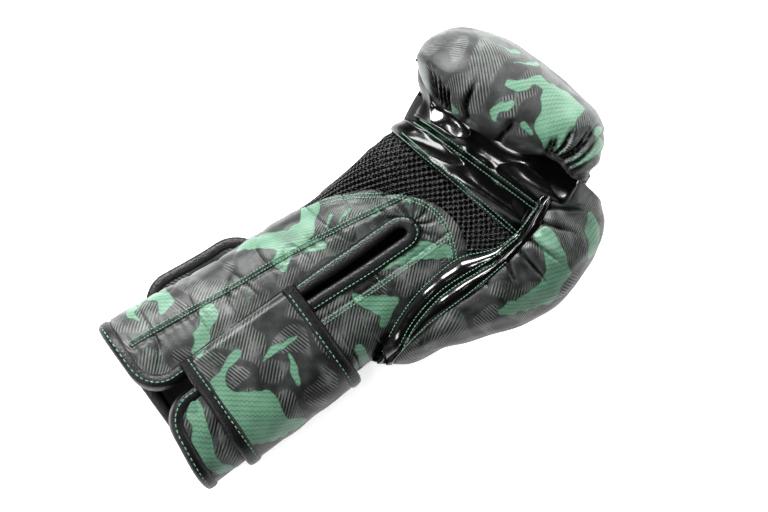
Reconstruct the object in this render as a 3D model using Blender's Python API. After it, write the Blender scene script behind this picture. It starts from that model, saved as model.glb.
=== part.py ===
"""Hook-and-loop training boxing glove, right hand, lying on its back with the palm up.

+X runs from the cuff to the fist, +Y to the little finger, +Z out of the palm. Lengths are in
millimetres in the tables below and are scaled to metres where vertices are made.

Every soft layer is a grid bent over one of three forms: the back of the hand, which runs from the
cuff under the hand and curls over the knuckles to the finger roll; the palm; and the thumb.
Each form is a row of half superellipses, and a layer lies at its own depth between the outer
surface and the hollow for the hand, so layers nest without touching.
"""

import math

import bmesh
import bpy
from mathutils import Matrix, Vector

MM = 0.001
GAP = 0.35

# Driving dimensions
CUFF_LENGTH = 100.0
LEATHER = 1.5
LINING = 1.0
CUFF_WALL = 10.3
CUFF_SHAPE = 3.0
FIST_SHAPE = 2.5
FIST_ORIGIN = Vector((193.0, -1.5, 0.0))
FIST_TURN = 18.0
STRAP_WIDTH = (29.0, 98.0)
STRAP_THICK = 4.0
STRAP_TIP_Y = 60.0
PATCH_THICK = 1.0
BINDING_RADIUS = 2.4
SLIT_END_X = 168.0
SLIT_HALF_WIDTH = 10.5
SLIT_BINDING_AT = 7.7
FLAP_EDGE_Y = 7.8
FLAP_CORNER = 22.0
STRAP_SEAM_DEG = 8.0
PALM_JOINT_DEG = 40.0
SIDE_JOINT_DEG = 150.0
GLOVE_CENTRE = Vector((147.303, -6.786, 0.0))


def on_fist(forward, up):
    """A point on the fist's middle plane, from its distance along the turned fist."""
    turn = math.radians(FIST_TURN)
    return FIST_ORIGIN + Vector((math.cos(turn) * forward, math.sin(turn) * forward, up))


PIVOT = on_fist(60.0, 90.0)

# Each back station: middle point, heading, swing from straight down, depth, half width, hollow's
# depth and half width, superellipse power. The swing turns about PIVOT from the sixth station on.
BACK = [
    (Vector((0.0, 0.0, 37.0)), 0.0, -90.0, 30.0, 50.0, 19.7, 39.7, CUFF_SHAPE),
    (Vector((CUFF_LENGTH, -1.0, 38.0)), 0.0, -90.0, 31.5, 48.0, 19.0, 37.5, CUFF_SHAPE),
    (Vector((150.0, -3.0, 43.0)), 4.0, -90.0, 39.5, 47.0, 14.0, 35.5, 2.8),
    (Vector((197.0, -2.0, 57.0)), 11.0, -90.0, 54.5, 51.0, 23.0, 38.0, 2.6),
    (on_fist(32.0, 75.0), FIST_TURN, -90.0, 73.5, 57.0, 37.0, 42.0, FIST_SHAPE),
    (PIVOT, FIST_TURN, -90.0, 89.6, 60.0, 46.0, 44.0, FIST_SHAPE),
    (PIVOT, FIST_TURN, -62.0, 76.0, 60.5, 34.0, 43.0, FIST_SHAPE),
    (PIVOT, FIST_TURN, -35.0, 52.0, 61.0, 17.0, 42.0, FIST_SHAPE),
    (PIVOT, FIST_TURN, 0.0, 38.5, 61.0, 8.0, 41.0, FIST_SHAPE),
    (PIVOT, FIST_TURN, 35.0, 34.5, 61.0, 5.0, 40.0, FIST_SHAPE),
    (PIVOT, FIST_TURN, 70.0, 31.0, 61.0, 4.5, 40.0, FIST_SHAPE),
    (PIVOT, FIST_TURN, 105.0, 27.0, 60.5, 4.5, 40.0, FIST_SHAPE),
    (PIVOT, FIST_TURN, 140.0, 20.0, 58.0, 4.5, 40.0, FIST_SHAPE),
    (PIVOT, FIST_TURN, 175.0, 13.0, 53.0, 4.5, 40.0, FIST_SHAPE),
]
# Height of the palm above the same middle points, and of the hollow under it.
PALM_HEIGHT = [30.0, 30.0, 29.0, 21.0, 13.0, 4.0]
PALM_HOLLOW = [19.7, 20.5, 22.0, 15.0, 7.5, 1.0]
# Thumb: middle point on the hand's side, outward reach, half height, hollow's reach and half height.
THUMB = [
    (Vector((113.0, -51.5, 40.0)), 8.0, 13.0, 2.0, 4.0),
    (Vector((132.0, -52.0, 43.0)), 18.0, 23.0, 8.0, 13.0),
    (Vector((158.0, -52.8, 47.0)), 26.0, 28.0, 16.0, 17.5),
    (Vector((187.0, -54.2, 51.0)), 33.0, 30.0, 22.5, 19.0),
    (Vector((213.0, -54.0, 56.0)), 37.5, 31.0, 24.0, 19.0),
    (Vector((235.0, -50.6, 61.0)), 35.0, 30.0, 20.0, 16.0),
    (Vector((252.0, -46.6, 64.0)), 25.0, 23.0, 10.0, 9.0),
    (Vector((262.0, -44.2, 65.0)), 10.0, 12.0, 2.0, 3.0),
]
THUMB_SHAPE = 2.3

COLOURS = {
    "camo": ((0.075, 0.085, 0.08), 0.55),
    "patent": ((0.01, 0.01, 0.01), 0.12),
    "mesh": ((0.02, 0.02, 0.02), 0.85),
    "binding": ((0.045, 0.045, 0.048), 0.6),
    "foam": ((0.16, 0.16, 0.17), 0.9),
    "lining": ((0.025, 0.025, 0.027), 0.9),
    "hook_loop": ((0.03, 0.03, 0.03), 0.95),
}


# ---------------------------------------------------------------- scene and materials


def clear_scene():
    for obj in list(bpy.data.objects):
        bpy.data.objects.remove(obj)


def new_collection(name):
    made = bpy.data.collections.new(name)
    bpy.context.scene.collection.children.link(made)
    return made


def make_materials():
    made = {}
    for name, (rgb, rough) in COLOURS.items():
        material = bpy.data.materials.new(name)
        material.use_nodes = True
        shader = material.node_tree.nodes["Principled BSDF"]
        shader.inputs["Base Color"].default_value = (*rgb, 1.0)
        shader.inputs["Roughness"].default_value = rough
        shader.inputs["Metallic"].default_value = 0.0
        made[name] = material
    return made


clear_scene()
GLOVE = new_collection("boxing_glove")
CUTTERS = new_collection("cutters")
MATERIALS = make_materials()


def add_object(name, data, material=None, collection=GLOVE):
    obj = bpy.data.objects.new(name, data)
    collection.objects.link(obj)
    if material:
        data.materials.append(MATERIALS[material])
    return obj


# ---------------------------------------------------------------- forms


def spline(values, s):
    """A smooth curve through equally spaced values, read at s, which counts from the first."""
    last = len(values) - 1
    s = min(max(s, 0.0), last)
    i = min(int(s), last - 1)
    u = s - i
    before, here, after = values[max(i - 1, 0)], values[i], values[i + 1]
    beyond = values[min(i + 2, last)]
    bend = 2 * before - 5 * here + 4 * after - beyond
    swing = 3 * here - before - 3 * after + beyond
    return 0.5 * (2 * here + (after - before) * u + bend * u**2 + swing * u**3)


def station_at(x):
    """The back station, as a number with a fraction, whose middle point is at x."""
    low, high = 0.0, 5.0
    for _ in range(40):
        middle = (low + high) / 2
        if spline([row[0].x for row in BACK], middle) < x:
            low = middle
        else:
            high = middle
    return (low + high) / 2


def arc_point(middle, outward, sideways, reach, half, power, degrees):
    """A point on a half superellipse; 0 degrees is straight outward."""
    angle = math.radians(degrees)
    out, side = math.cos(angle), math.sin(angle)
    grow = (abs(out) ** power + abs(side) ** power) ** (-1 / power)
    return middle + outward * (reach * out * grow) + sideways * (half * side * grow)


def headings(heading):
    turn = math.radians(heading)
    return Vector((math.cos(turn), math.sin(turn), 0)), Vector((-math.sin(turn), math.cos(turn), 0))


def between(outer, hollow, depth):
    """Depth is a share of the way from the outer surface to the hollow, and a distance inward."""
    share, inset = depth
    return max(outer + (hollow - outer) * share - inset, 0.4)


def back_point(s, degrees, depth):
    """The back of the hand. 90 degrees is the little finger's side, -90 the thumb's."""
    row = [spline([station[k] for station in BACK], s) for k in range(8)]
    middle, heading, swing, reach, half, hollow, hollow_half, power = row
    if s >= 5:
        middle = PIVOT
    forward, lateral = headings(heading)
    turn = math.radians(max(swing, -90.0))
    outward = forward * math.cos(turn) + Vector((0, 0, math.sin(turn)))
    reach = between(reach, hollow, depth)
    half = between(half, hollow_half, depth)
    return arc_point(middle, outward, lateral, reach, half, power, degrees)


def palm_point(s, degrees, depth):
    """The palm, over the same middle points as the back. 90 degrees is the little finger's side."""
    middle = spline([station[0] for station in BACK], s)
    heading = spline([station[1] for station in BACK], s)
    half = between(
        spline([station[4] for station in BACK], s),
        spline([station[6] for station in BACK], s),
        depth,
    )
    reach = between(spline(PALM_HEIGHT, s), spline(PALM_HOLLOW, s), depth)
    power = spline([station[7] for station in BACK], s)
    lateral = headings(heading)[1]
    return arc_point(middle, Vector((0, 0, 1)), lateral, reach, half, power, degrees)


def middle_y(x):
    return spline([station[0].y for station in BACK], station_at(x))


def palm_over(x, aside, depth):
    """The palm's surface at x, and this far aside from the glove's middle line."""
    s = station_at(x)
    half = spline([station[4] for station in BACK], s)
    power = spline([station[7] for station in BACK], s)
    side = max(-0.999, min(0.999, aside / half))
    out = (1 - abs(side) ** power) ** (1 / power)
    point = palm_point(s, math.degrees(math.atan2(side, out)), depth)
    return Vector((x, middle_y(x) + aside, point.z))


def thumb_point(s, degrees, depth):
    """The thumb, a half form that lies against the hand's side. 90 degrees is its palm side."""
    row = [spline([station[k] for station in THUMB], s) for k in range(5)]
    middle, reach, half, hollow, hollow_half = row
    ahead = spline([t[0] for t in THUMB], s + 0.1) - spline([t[0] for t in THUMB], s - 0.1)
    outward = Vector((ahead.y, -ahead.x, 0)).normalized()
    reach = between(reach, hollow, depth)
    half = between(half, hollow_half, depth)
    return arc_point(middle, outward, Vector((0, 0, 1)), reach, half, THUMB_SHAPE, degrees)


def cuff_ring_point(x, degrees, offset):
    """Round the whole cuff: 0 degrees is the middle of the palm side, 90 the thumb's side."""
    depth = (0.0, -offset)
    if degrees <= 90:
        return palm_point(station_at(x), -degrees, depth)
    return back_point(station_at(x), degrees - 180, depth)


# ---------------------------------------------------------------- solids


def bent_slab(name, material, place, steps_along, steps_across):
    """A closed slab: a flat grid given two sides, then bent. place(u, v, side) gives each vertex,
    with u and v from 0 to 1, and side 0 for the outer face and 1 for the inner one."""
    body = bmesh.new()
    bmesh.ops.create_grid(body, x_segments=steps_along, y_segments=steps_across, size=1.0)
    outer = list(body.verts)
    grown = bmesh.ops.extrude_face_region(body, geom=list(body.faces), use_keep_orig=True)
    inner = [item for item in grown["geom"] if isinstance(item, bmesh.types.BMVert)]
    places = []
    for side, verts in enumerate((outer, inner)):
        for vert in verts:
            u, v = (vert.co.x + 1) / 2, (vert.co.y + 1) / 2
            places.append((vert, place(u, v, side)))
    for vert, point in places:
        vert.co = point * MM
    bmesh.ops.remove_doubles(body, verts=list(body.verts), dist=0.01 * MM)
    bmesh.ops.recalc_face_normals(body, faces=list(body.faces))
    if body.calc_volume(signed=True) < 0:
        bmesh.ops.reverse_faces(body, faces=list(body.faces))
    mesh = bpy.data.meshes.new(name)
    body.to_mesh(mesh)
    body.free()
    obj = add_object(name, mesh, material)
    mesh.shade_smooth()
    mesh.set_sharp_from_angle(angle=math.radians(40))
    return obj


def layer(name, material, form, ends, arc, depths, steps):
    """A slab of one form. ends(v) gives its first and last station at share v across; arc is its
    first and last angle; depths are its outer and inner depth."""

    def place(u, v, side):
        degrees = arc[0] + (arc[1] - arc[0]) * v
        start, end = ends(degrees)
        return form(start + (end - start) * u, degrees, depths[side])

    return bent_slab(name, material, place, *steps)


def tube(name, material, points, radius):
    """A round tube with closed ends along the points."""
    curve = bpy.data.curves.new(name, "CURVE")
    curve.dimensions = "3D"
    curve.bevel_depth = radius * MM
    curve.bevel_resolution = 1
    curve.use_fill_caps = True
    line = curve.splines.new("POLY")
    line.points.add(len(points) - 1)
    for target, point in zip(line.points, points):
        target.co = (*(point * MM), 1.0)
    return add_object(name, curve, material)


def flat_piece(name, material, outline, low, high, collection=GLOVE):
    """A flat outline made solid between two heights."""
    curve = bpy.data.curves.new(name, "CURVE")
    curve.dimensions = "2D"
    curve.fill_mode = "BOTH"
    curve.extrude = (high - low) / 2 * MM
    line = curve.splines.new("POLY")
    line.points.add(len(outline) - 1)
    line.use_cyclic_u = True
    for target, (x, y) in zip(line.points, outline):
        target.co = (x * MM, y * MM, 0, 1)
    obj = add_object(name, curve, material, collection)
    obj.location = (0, 0, (low + high) / 2 * MM)
    return obj


def as_mesh(obj):
    """The same piece as a mesh object, with its caps welded, so that a Boolean can use it."""
    bpy.context.view_layer.update()
    graph = bpy.context.evaluated_depsgraph_get()
    mesh = bpy.data.meshes.new_from_object(obj.evaluated_get(graph))
    body = bmesh.new()
    body.from_mesh(mesh)
    bmesh.ops.remove_doubles(body, verts=list(body.verts), dist=0.01 * MM)
    body.to_mesh(mesh)
    body.free()
    name, owner, matrix = obj.name, obj.users_collection[0], obj.matrix_world.copy()
    bpy.data.objects.remove(obj)
    made = bpy.data.objects.new(name, mesh)
    owner.objects.link(made)
    made.matrix_world = matrix
    return made


def make_cutter(obj):
    obj.hide_render = True
    obj.display_type = "WIRE"
    return obj


def cut(obj, cutter):
    modifier = obj.modifiers.new(f"cut_{cutter.name}", "BOOLEAN")
    modifier.operation = "DIFFERENCE"
    modifier.object = cutter


def rounded_end(half_width, straight, end, corner, count=5):
    """An outline from y = straight to y = end, with its two corners at the end rounded."""
    middle, half = sum(STRAP_WIDTH) / 2, half_width
    points = [(middle - half, straight), (middle + half, straight)]
    for turn, side in ((0, 1), (90, -1)):
        for k in range(count + 1):
            angle = math.radians(turn + 90 * k / count)
            x = middle + side * (half - corner) + corner * math.cos(angle)
            points.append((x, end - corner + corner * math.sin(angle)))
    return points


# ---------------------------------------------------------------- cutters


def slit_cutter():
    """The opening of the palm: a slot along the middle line, with a round end."""
    straight = [CUFF_LENGTH - 12 + 10 * k for k in range(8)]
    plan = [(x, -SLIT_HALF_WIDTH) for x in straight]
    for k in range(13):
        angle = math.radians(-90 + 15 * k)
        x = SLIT_END_X + SLIT_HALF_WIDTH * math.cos(angle)
        plan.append((x, SLIT_HALF_WIDTH * math.sin(angle)))
    plan += [(x, SLIT_HALF_WIDTH) for x in reversed(straight)]
    points = [(x, middle_y(x) + aside) for x, aside in plan]
    return make_cutter(as_mesh(flat_piece("slit", None, points, 52, 120, CUTTERS)))


def thumb_tunnel_cutter():
    """The way from the hand's hollow into the thumb's."""
    body = bmesh.new()
    bmesh.ops.create_uvsphere(body, u_segments=16, v_segments=10, radius=1.0)
    mesh = bpy.data.meshes.new("thumb_tunnel")
    body.transform(Matrix.Diagonal((36 * MM, 23 * MM, 16 * MM, 1)))
    body.transform(Matrix.Translation(Vector((156, -47, 46)) * MM))
    body.to_mesh(mesh)
    body.free()
    return make_cutter(add_object("thumb_tunnel", mesh, None, CUTTERS))


SLIT = slit_cutter()
TUNNEL = thumb_tunnel_cutter()

# ---------------------------------------------------------------- hand: back, palm and lining

OUTER, UNDER_SKIN = (0.0, 0.0), (0.0, LEATHER + GAP)
SKIN_IN = (0.0, LEATHER)
MID_FOAM, MID_FOAM_NEXT = (0.6, 0.0), (0.6, GAP)
OVER_LINING = (1.0, -(LINING + GAP))
LINING_OUT, HOLLOW = (1.0, -LINING), (1.0, 0.0)
ROLL_END = 13.0
FIST_FRONT = 8.0
HAND_START = station_at(CUFF_LENGTH + GAP)


def fixed_ends(start, end):
    return lambda degrees: (start, end)


def build_hand_back():
    half_turn = (-88.0, 88.0)
    whole = fixed_ends(HAND_START, ROLL_END)
    shell = layer("main_shell", "camo", back_point, whole, half_turn, (OUTER, SKIN_IN), (24, 12))
    impact = layer(
        "impact_foam", "foam", back_point, whole, half_turn, (UNDER_SKIN, MID_FOAM), (24, 12)
    )
    comfort = layer(
        "comfort_foam",
        "foam",
        back_point,
        whole,
        half_turn,
        (MID_FOAM_NEXT, OVER_LINING),
        (24, 12),
    )
    lining = layer(
        "hand_lining_back",
        "lining",
        back_point,
        fixed_ends(HAND_START, FIST_FRONT),
        half_turn,
        (LINING_OUT, HOLLOW),
        (14, 12),
    )
    for obj in (shell, impact, comfort, lining):
        cut(obj, TUNNEL)


PALM_ARC = (-88.0, 88.0)
SLIT_BINDING_STEPS = (105.5, 115, 125, 135, 146, 157)
HEEL_TOP_X = 187.0
MESH_TOP = 3.32
PATENT_SEAM = 4.0
PATENT_TOP = 4.42
SEAM_GAP = 0.012


def heel_top(degrees):
    """The heel panel's curved top edge, which falls away on the little finger's side."""
    fall = 34 * (max(degrees, 0) / 90) ** 2 + 10 * (min(degrees, 0) / 90) ** 2
    return station_at(HEEL_TOP_X - fall)


def build_palm():
    skin = (OUTER, SKIN_IN)
    heel = layer(
        "palm_heel_panel",
        "camo",
        palm_point,
        lambda degrees: (HAND_START, heel_top(degrees)),
        PALM_ARC,
        skin,
        (8, 16),
    )
    cut(heel, SLIT)
    cut(heel, TUNNEL)
    pad = layer(
        "palm_heel_pad",
        "foam",
        palm_point,
        lambda degrees: (HAND_START, heel_top(degrees)),
        PALM_ARC,
        (UNDER_SKIN, OVER_LINING),
        (8, 16),
    )
    cut(pad, SLIT)
    cut(pad, TUNNEL)
    layer(
        "palm_mesh_panel",
        "mesh",
        palm_point,
        lambda degrees: (heel_top(degrees) + SEAM_GAP, MESH_TOP),
        PALM_ARC,
        skin,
        (3, 16),
    )
    layer(
        "grip_panel_lower",
        "patent",
        palm_point,
        fixed_ends(MESH_TOP + SEAM_GAP, PATENT_SEAM),
        PALM_ARC,
        skin,
        (3, 16),
    )
    layer(
        "grip_panel_upper",
        "patent",
        palm_point,
        fixed_ends(PATENT_SEAM + SEAM_GAP, PATENT_TOP),
        PALM_ARC,
        skin,
        (3, 16),
    )
    lining = layer(
        "hand_lining_palm",
        "lining",
        palm_point,
        fixed_ends(HAND_START, PATENT_TOP),
        PALM_ARC,
        (LINING_OUT, HOLLOW),
        (14, 16),
    )
    cut(lining, SLIT)
    cut(lining, TUNNEL)


def build_grip_bar():
    """The foam roll that the fingertips close on, under the grip panels."""
    lateral = headings(FIST_TURN)[1]
    middle = on_fist(46.0, 71.0)
    ends = [middle - lateral * 34, middle + lateral * 34]
    bar = tube("grip_bar", "foam", ends, 7.0)
    bar.data.bevel_resolution = 3


def build_slit_binding():
    """The rolled edge round the open end of the slit."""
    plan = [(x, -SLIT_BINDING_AT) for x in SLIT_BINDING_STEPS]
    for k in range(9):
        angle = math.radians(-90 + 22.5 * k)
        x = SLIT_END_X + SLIT_BINDING_AT * math.cos(angle)
        plan.append((x, SLIT_BINDING_AT * math.sin(angle)))
    plan += [(x, SLIT_BINDING_AT) for x in reversed(SLIT_BINDING_STEPS)]
    line = [palm_over(x, y, (0.0, LEATHER / 2)) for x, y in plan]
    tube("slit_binding", "binding", line, BINDING_RADIUS)


# ---------------------------------------------------------------- thumb

THUMB_END = len(THUMB) - 1.0
GUSSET_EDGES = (30.0, 60.0, 90.0)


def build_thumb():
    along = fixed_ends(0.0, THUMB_END)
    skin = (OUTER, SKIN_IN)
    low, middle, high = GUSSET_EDGES
    layer("thumb_shell", "camo", thumb_point, along, (-90.0, low), skin, (14, 8))
    layer("thumb_gusset_outer", "patent", thumb_point, along, (low + 1, middle), skin, (14, 2))
    layer("thumb_gusset_inner", "patent", thumb_point, along, (middle + 1, high), skin, (14, 2))
    layer(
        "thumb_foam",
        "foam",
        thumb_point,
        fixed_ends(0.5, THUMB_END - 0.5),
        (-90.0, 90.0),
        (UNDER_SKIN, OVER_LINING),
        (12, 12),
    )
    layer(
        "thumb_lining",
        "lining",
        thumb_point,
        fixed_ends(1.0, THUMB_END - 1.0),
        (-90.0, 90.0),
        (LINING_OUT, HOLLOW),
        (10, 12),
    )


def build_thumb_lock():
    """The short tab that holds the thumb's tip to the fist."""
    lateral = headings(FIST_TURN)[1]
    start = on_fist(41.0, 90.8) - lateral * 49
    tab = tube("thumb_lock_tab", "patent", [start, start - lateral * 17 + Vector((0, 0, 0.6))], 3.0)
    tab.data.bevel_resolution = 2


# ---------------------------------------------------------------- cuff

CUFF_START = BINDING_RADIUS + GAP
CUFF_END = CUFF_LENGTH - GAP
CUFF_LAYERS = (
    ("panel", "camo", (OUTER, SKIN_IN)),
    ("foam", "foam", (UNDER_SKIN, OVER_LINING)),
    ("lining", "lining", (LINING_OUT, HOLLOW)),
)


def build_cuff_back():
    whole = fixed_ends(station_at(CUFF_START), station_at(CUFF_END))
    for part, material, depths in CUFF_LAYERS:
        layer(f"cuff_back_{part}", material, back_point, whole, (-89.0, 89.0), depths, (4, 18))
    line = [back_point(0.0, -88 + 11 * k, (0.5, 0.0)) for k in range(17)]
    tube("cuff_back_binding", "binding", line, BINDING_RADIUS)


def corner_cut(y):
    """How far the flap's cuff edge is cut back near the slit, on a round corner."""
    near = min(max(FLAP_CORNER + FLAP_EDGE_Y - abs(y), 0.0), FLAP_CORNER)
    return FLAP_CORNER - math.sqrt(FLAP_CORNER**2 - near**2)


def flap_binding_plan():
    """The binding's centre line in plan, from the side of the cuff round the corner to the hand."""
    rim = CUFF_START
    corner_x, corner_y = CUFF_START + FLAP_CORNER, FLAP_EDGE_Y + FLAP_CORNER
    plan = [(corner_x - FLAP_CORNER - rim, y) for y in (49.6, 47.5, 44.0, 39.5, 34.5)]
    for k in range(9):
        angle = math.radians(11.25 * k)
        reach = FLAP_CORNER + rim
        plan.append((corner_x - reach * math.cos(angle), corner_y - reach * math.sin(angle)))
    plan += [(x, FLAP_EDGE_Y - rim) for x in (45, 63, 81, 97)]
    return plan


def flap_layers(side):
    """One half of the cuff's palm side. side is 1 at the little finger and -1 at the thumb."""
    name = "little_finger" if side > 0 else "thumb"
    made = []
    for part, material, depths in CUFF_LAYERS:
        half = between(BACK[1][4], BACK[1][6], depths[1])
        edge = math.degrees(math.asin(FLAP_EDGE_Y / half))

        def ends(degrees, half=half):
            cut_back = corner_cut(half * math.sin(math.radians(degrees)))
            return station_at(CUFF_START + cut_back), station_at(CUFF_END)

        arc = (edge, 89.0) if side > 0 else (-89.0, -edge)
        piece = f"cuff_flap_{name}_{part}"
        made.append(layer(piece, material, palm_point, ends, arc, depths, (4, 12)))
    line = [palm_over(x, side * aside, (0.5, 0.0)) for x, aside in flap_binding_plan()]
    made.append(tube(f"cuff_flap_{name}_binding", "binding", line, BINDING_RADIUS))
    return made


# ---------------------------------------------------------------- strap


def strap_clearance(degrees):
    """The strap lies on the palm side and stands away under the back, over its loop patch."""
    share = min(max((degrees - 90) / 60, 0), 1)
    return 0.4 + 4.1 * share * share * (3 - 2 * share)


def strap_segment(name, first, last, steps):
    def place(u, v, side):
        degrees = first + (last - first) * v
        x = STRAP_WIDTH[0] + (STRAP_WIDTH[1] - STRAP_WIDTH[0]) * u
        offset = strap_clearance(degrees) + (STRAP_THICK if side == 0 else 0)
        return cuff_ring_point(x, degrees, offset)

    return bent_slab(name, "camo", place, 2, steps)


def strap_edge_line(x, first, last, count):
    points = []
    for k in range(count + 1):
        degrees = first + (last - first) * k / count
        offset = strap_clearance(degrees) + STRAP_THICK / 2
        points.append(cuff_ring_point(x, degrees, offset))
    return points


def strap_bindings(name, first, last, count):
    made = []
    for label, x in (
        ("wrist_side", STRAP_WIDTH[0] - BINDING_RADIUS - GAP),
        ("hand_side", STRAP_WIDTH[1] + BINDING_RADIUS + GAP),
    ):
        line = strap_edge_line(x, first, last, count)
        made.append(tube(f"{name}_binding_{label}", "binding", line, BINDING_RADIUS - 0.4))
    return made


def side_end_y():
    """Where the strap's side part ends, at its inner face."""
    return cuff_ring_point(50, SIDE_JOINT_DEG, strap_clearance(SIDE_JOINT_DEG)).y


def build_strap_back(start):
    """The free end under the cuff: a flat tongue with a round end, its hook patch and binding."""
    half = (STRAP_WIDTH[1] - STRAP_WIDTH[0]) / 2
    rim = 2 * (BINDING_RADIUS - 0.4) + GAP
    tongue = flat_piece(
        "strap_back_panel",
        "camo",
        rounded_end(half, start, STRAP_TIP_Y - rim, 20),
        0.0,
        STRAP_THICK,
    )
    hook = flat_piece(
        "strap_hook_patch",
        "hook_loop",
        rounded_end(half - 8, start + 22, STRAP_TIP_Y - 16, 14),
        STRAP_THICK + 0.3,
        STRAP_THICK + 0.3 + PATCH_THICK,
    )
    middle = STRAP_THICK / 2 + 0.05
    radius = BINDING_RADIUS - 0.4
    outline = rounded_end(half + radius + GAP, start + 0.5, STRAP_TIP_Y - radius, 22)
    ring = outline[1:] + [outline[0]]
    rim_tube = tube(
        "strap_back_binding", "binding", [Vector((x, y, middle)) for x, y in ring], radius
    )
    return [tongue, hook, rim_tube]


def build_loop_patch():
    low = STRAP_THICK + 0.3 + PATCH_THICK + 0.3
    corners = [(34, -22), (93, -22), (93, 30), (34, 30)]
    return flat_piece("cuff_loop_patch", "hook_loop", corners, low, low + PATCH_THICK)


# ---------------------------------------------------------------- assembly


def joint_empty(name, position, parent=None):
    """An empty on the joint's axis, which runs along X."""
    empty = bpy.data.objects.new(name, None)
    GLOVE.objects.link(empty)
    empty.location = position * MM
    bpy.context.view_layer.update()
    if parent:
        adopt(parent, [empty])
    return empty


def adopt(parent, children):
    """Parents the children where they are."""
    bpy.context.view_layer.update()
    for child in children:
        matrix = child.matrix_world.copy()
        child.parent = parent
        child.matrix_parent_inverse = parent.matrix_world.inverted()
        child.matrix_world = matrix


def build_moving_parts():
    outer = STRAP_THICK
    thumb_flap = flap_layers(-1)
    finger_flap = flap_layers(1)
    palm_pieces = [strap_segment("strap_palm_panel", -STRAP_SEAM_DEG, PALM_JOINT_DEG - 0.6, 6)]
    palm_pieces += strap_bindings("strap_palm", -STRAP_SEAM_DEG, PALM_JOINT_DEG - 0.6, 5)
    side_pieces = [strap_segment("strap_side_panel", PALM_JOINT_DEG, SIDE_JOINT_DEG, 12)]
    side_pieces += strap_bindings("strap_side", PALM_JOINT_DEG, SIDE_JOINT_DEG, 9)
    back_pieces = build_strap_back(side_end_y() + 1.0)

    side_y = BACK[0][4]
    finger_axis = joint_empty("finger_flap_axis", Vector((50, side_y, BACK[0][0].z)))
    thumb_axis = joint_empty("thumb_flap_axis", Vector((50, -side_y, BACK[0][0].z)))
    seam = cuff_ring_point(50, -STRAP_SEAM_DEG, strap_clearance(0) + outer)
    seam_axis = joint_empty("strap_seam_axis", seam, finger_axis)
    fold = cuff_ring_point(50, PALM_JOINT_DEG, strap_clearance(0) + outer)
    fold_axis = joint_empty("strap_side_axis", fold, seam_axis)
    under = Vector((50, side_end_y(), 0.0))
    under_axis = joint_empty("strap_back_axis", under, fold_axis)
    adopt(finger_axis, finger_flap)
    adopt(thumb_axis, thumb_flap)
    adopt(seam_axis, palm_pieces)
    adopt(fold_axis, side_pieces)
    adopt(under_axis, back_pieces)
    return [finger_axis, thumb_axis]


def centre_on_base(roots):
    """Moves everything so that the origin is under the middle of the glove, on the table."""
    for obj in [o for o in GLOVE.objects if o.parent is None] + list(CUTTERS.objects):
        obj.location -= GLOVE_CENTRE * MM
    return roots


build_hand_back()
build_palm()
build_grip_bar()
build_slit_binding()
build_thumb()
build_thumb_lock()
build_cuff_back()
build_loop_patch()
centre_on_base(build_moving_parts())
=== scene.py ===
"""The looks of the boxing glove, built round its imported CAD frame.

Shapes are worked out in millimetres in the CAD's design frame: x from the cuff's edge to the fist,
y towards the little finger, z out of the palm, with the table at z = 0. to_world() turns them into
the row frame. Angles round a form are in degrees, 90 at the little finger's side.
"""

import math

import bpy
import numpy as np
from mathutils import Matrix, Vector
from mathutils.bvhtree import BVHTree


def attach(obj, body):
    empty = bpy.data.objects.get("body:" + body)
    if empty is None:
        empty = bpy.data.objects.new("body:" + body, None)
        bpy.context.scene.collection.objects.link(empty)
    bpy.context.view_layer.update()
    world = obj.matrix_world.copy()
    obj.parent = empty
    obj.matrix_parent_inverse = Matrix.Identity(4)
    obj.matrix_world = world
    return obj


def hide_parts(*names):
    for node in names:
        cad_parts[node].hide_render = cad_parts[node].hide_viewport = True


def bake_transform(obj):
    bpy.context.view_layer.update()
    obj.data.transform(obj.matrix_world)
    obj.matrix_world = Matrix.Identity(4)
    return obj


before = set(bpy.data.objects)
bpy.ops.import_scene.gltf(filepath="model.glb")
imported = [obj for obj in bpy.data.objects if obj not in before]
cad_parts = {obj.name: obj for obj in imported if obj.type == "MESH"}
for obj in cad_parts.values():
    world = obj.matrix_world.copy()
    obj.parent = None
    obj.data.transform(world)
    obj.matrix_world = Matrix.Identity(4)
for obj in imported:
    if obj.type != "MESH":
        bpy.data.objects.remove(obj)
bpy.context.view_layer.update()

MM = 0.001
CENTRE = np.array([147.303, -6.786, 0.0])
UPWARD = np.array([0.0, 0.0, 1.0])
# The picture's right and its top, as directions on the table
ACROSS_IMAGE = np.array([0.809, -0.588, 0.0])
UP_IMAGE = np.array([0.588, 0.809, 0.0])

# ---------------------------------------------------------------- forms

FIST_TURN = 18.0
TURN = math.radians(FIST_TURN)
FIST_ORIGIN = np.array([193.0, -1.5, 0.0])
FIST_FORWARD = np.array([math.cos(TURN), math.sin(TURN), 0.0])
FIST_LATERAL = np.array([-math.sin(TURN), math.cos(TURN), 0.0])
KNEE = FIST_ORIGIN + FIST_FORWARD * 32.0 + UPWARD * 75.0
PIVOT = FIST_ORIGIN + FIST_FORWARD * 60.0 + UPWARD * 90.0
PIVOT_STATION = 5.0

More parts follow.
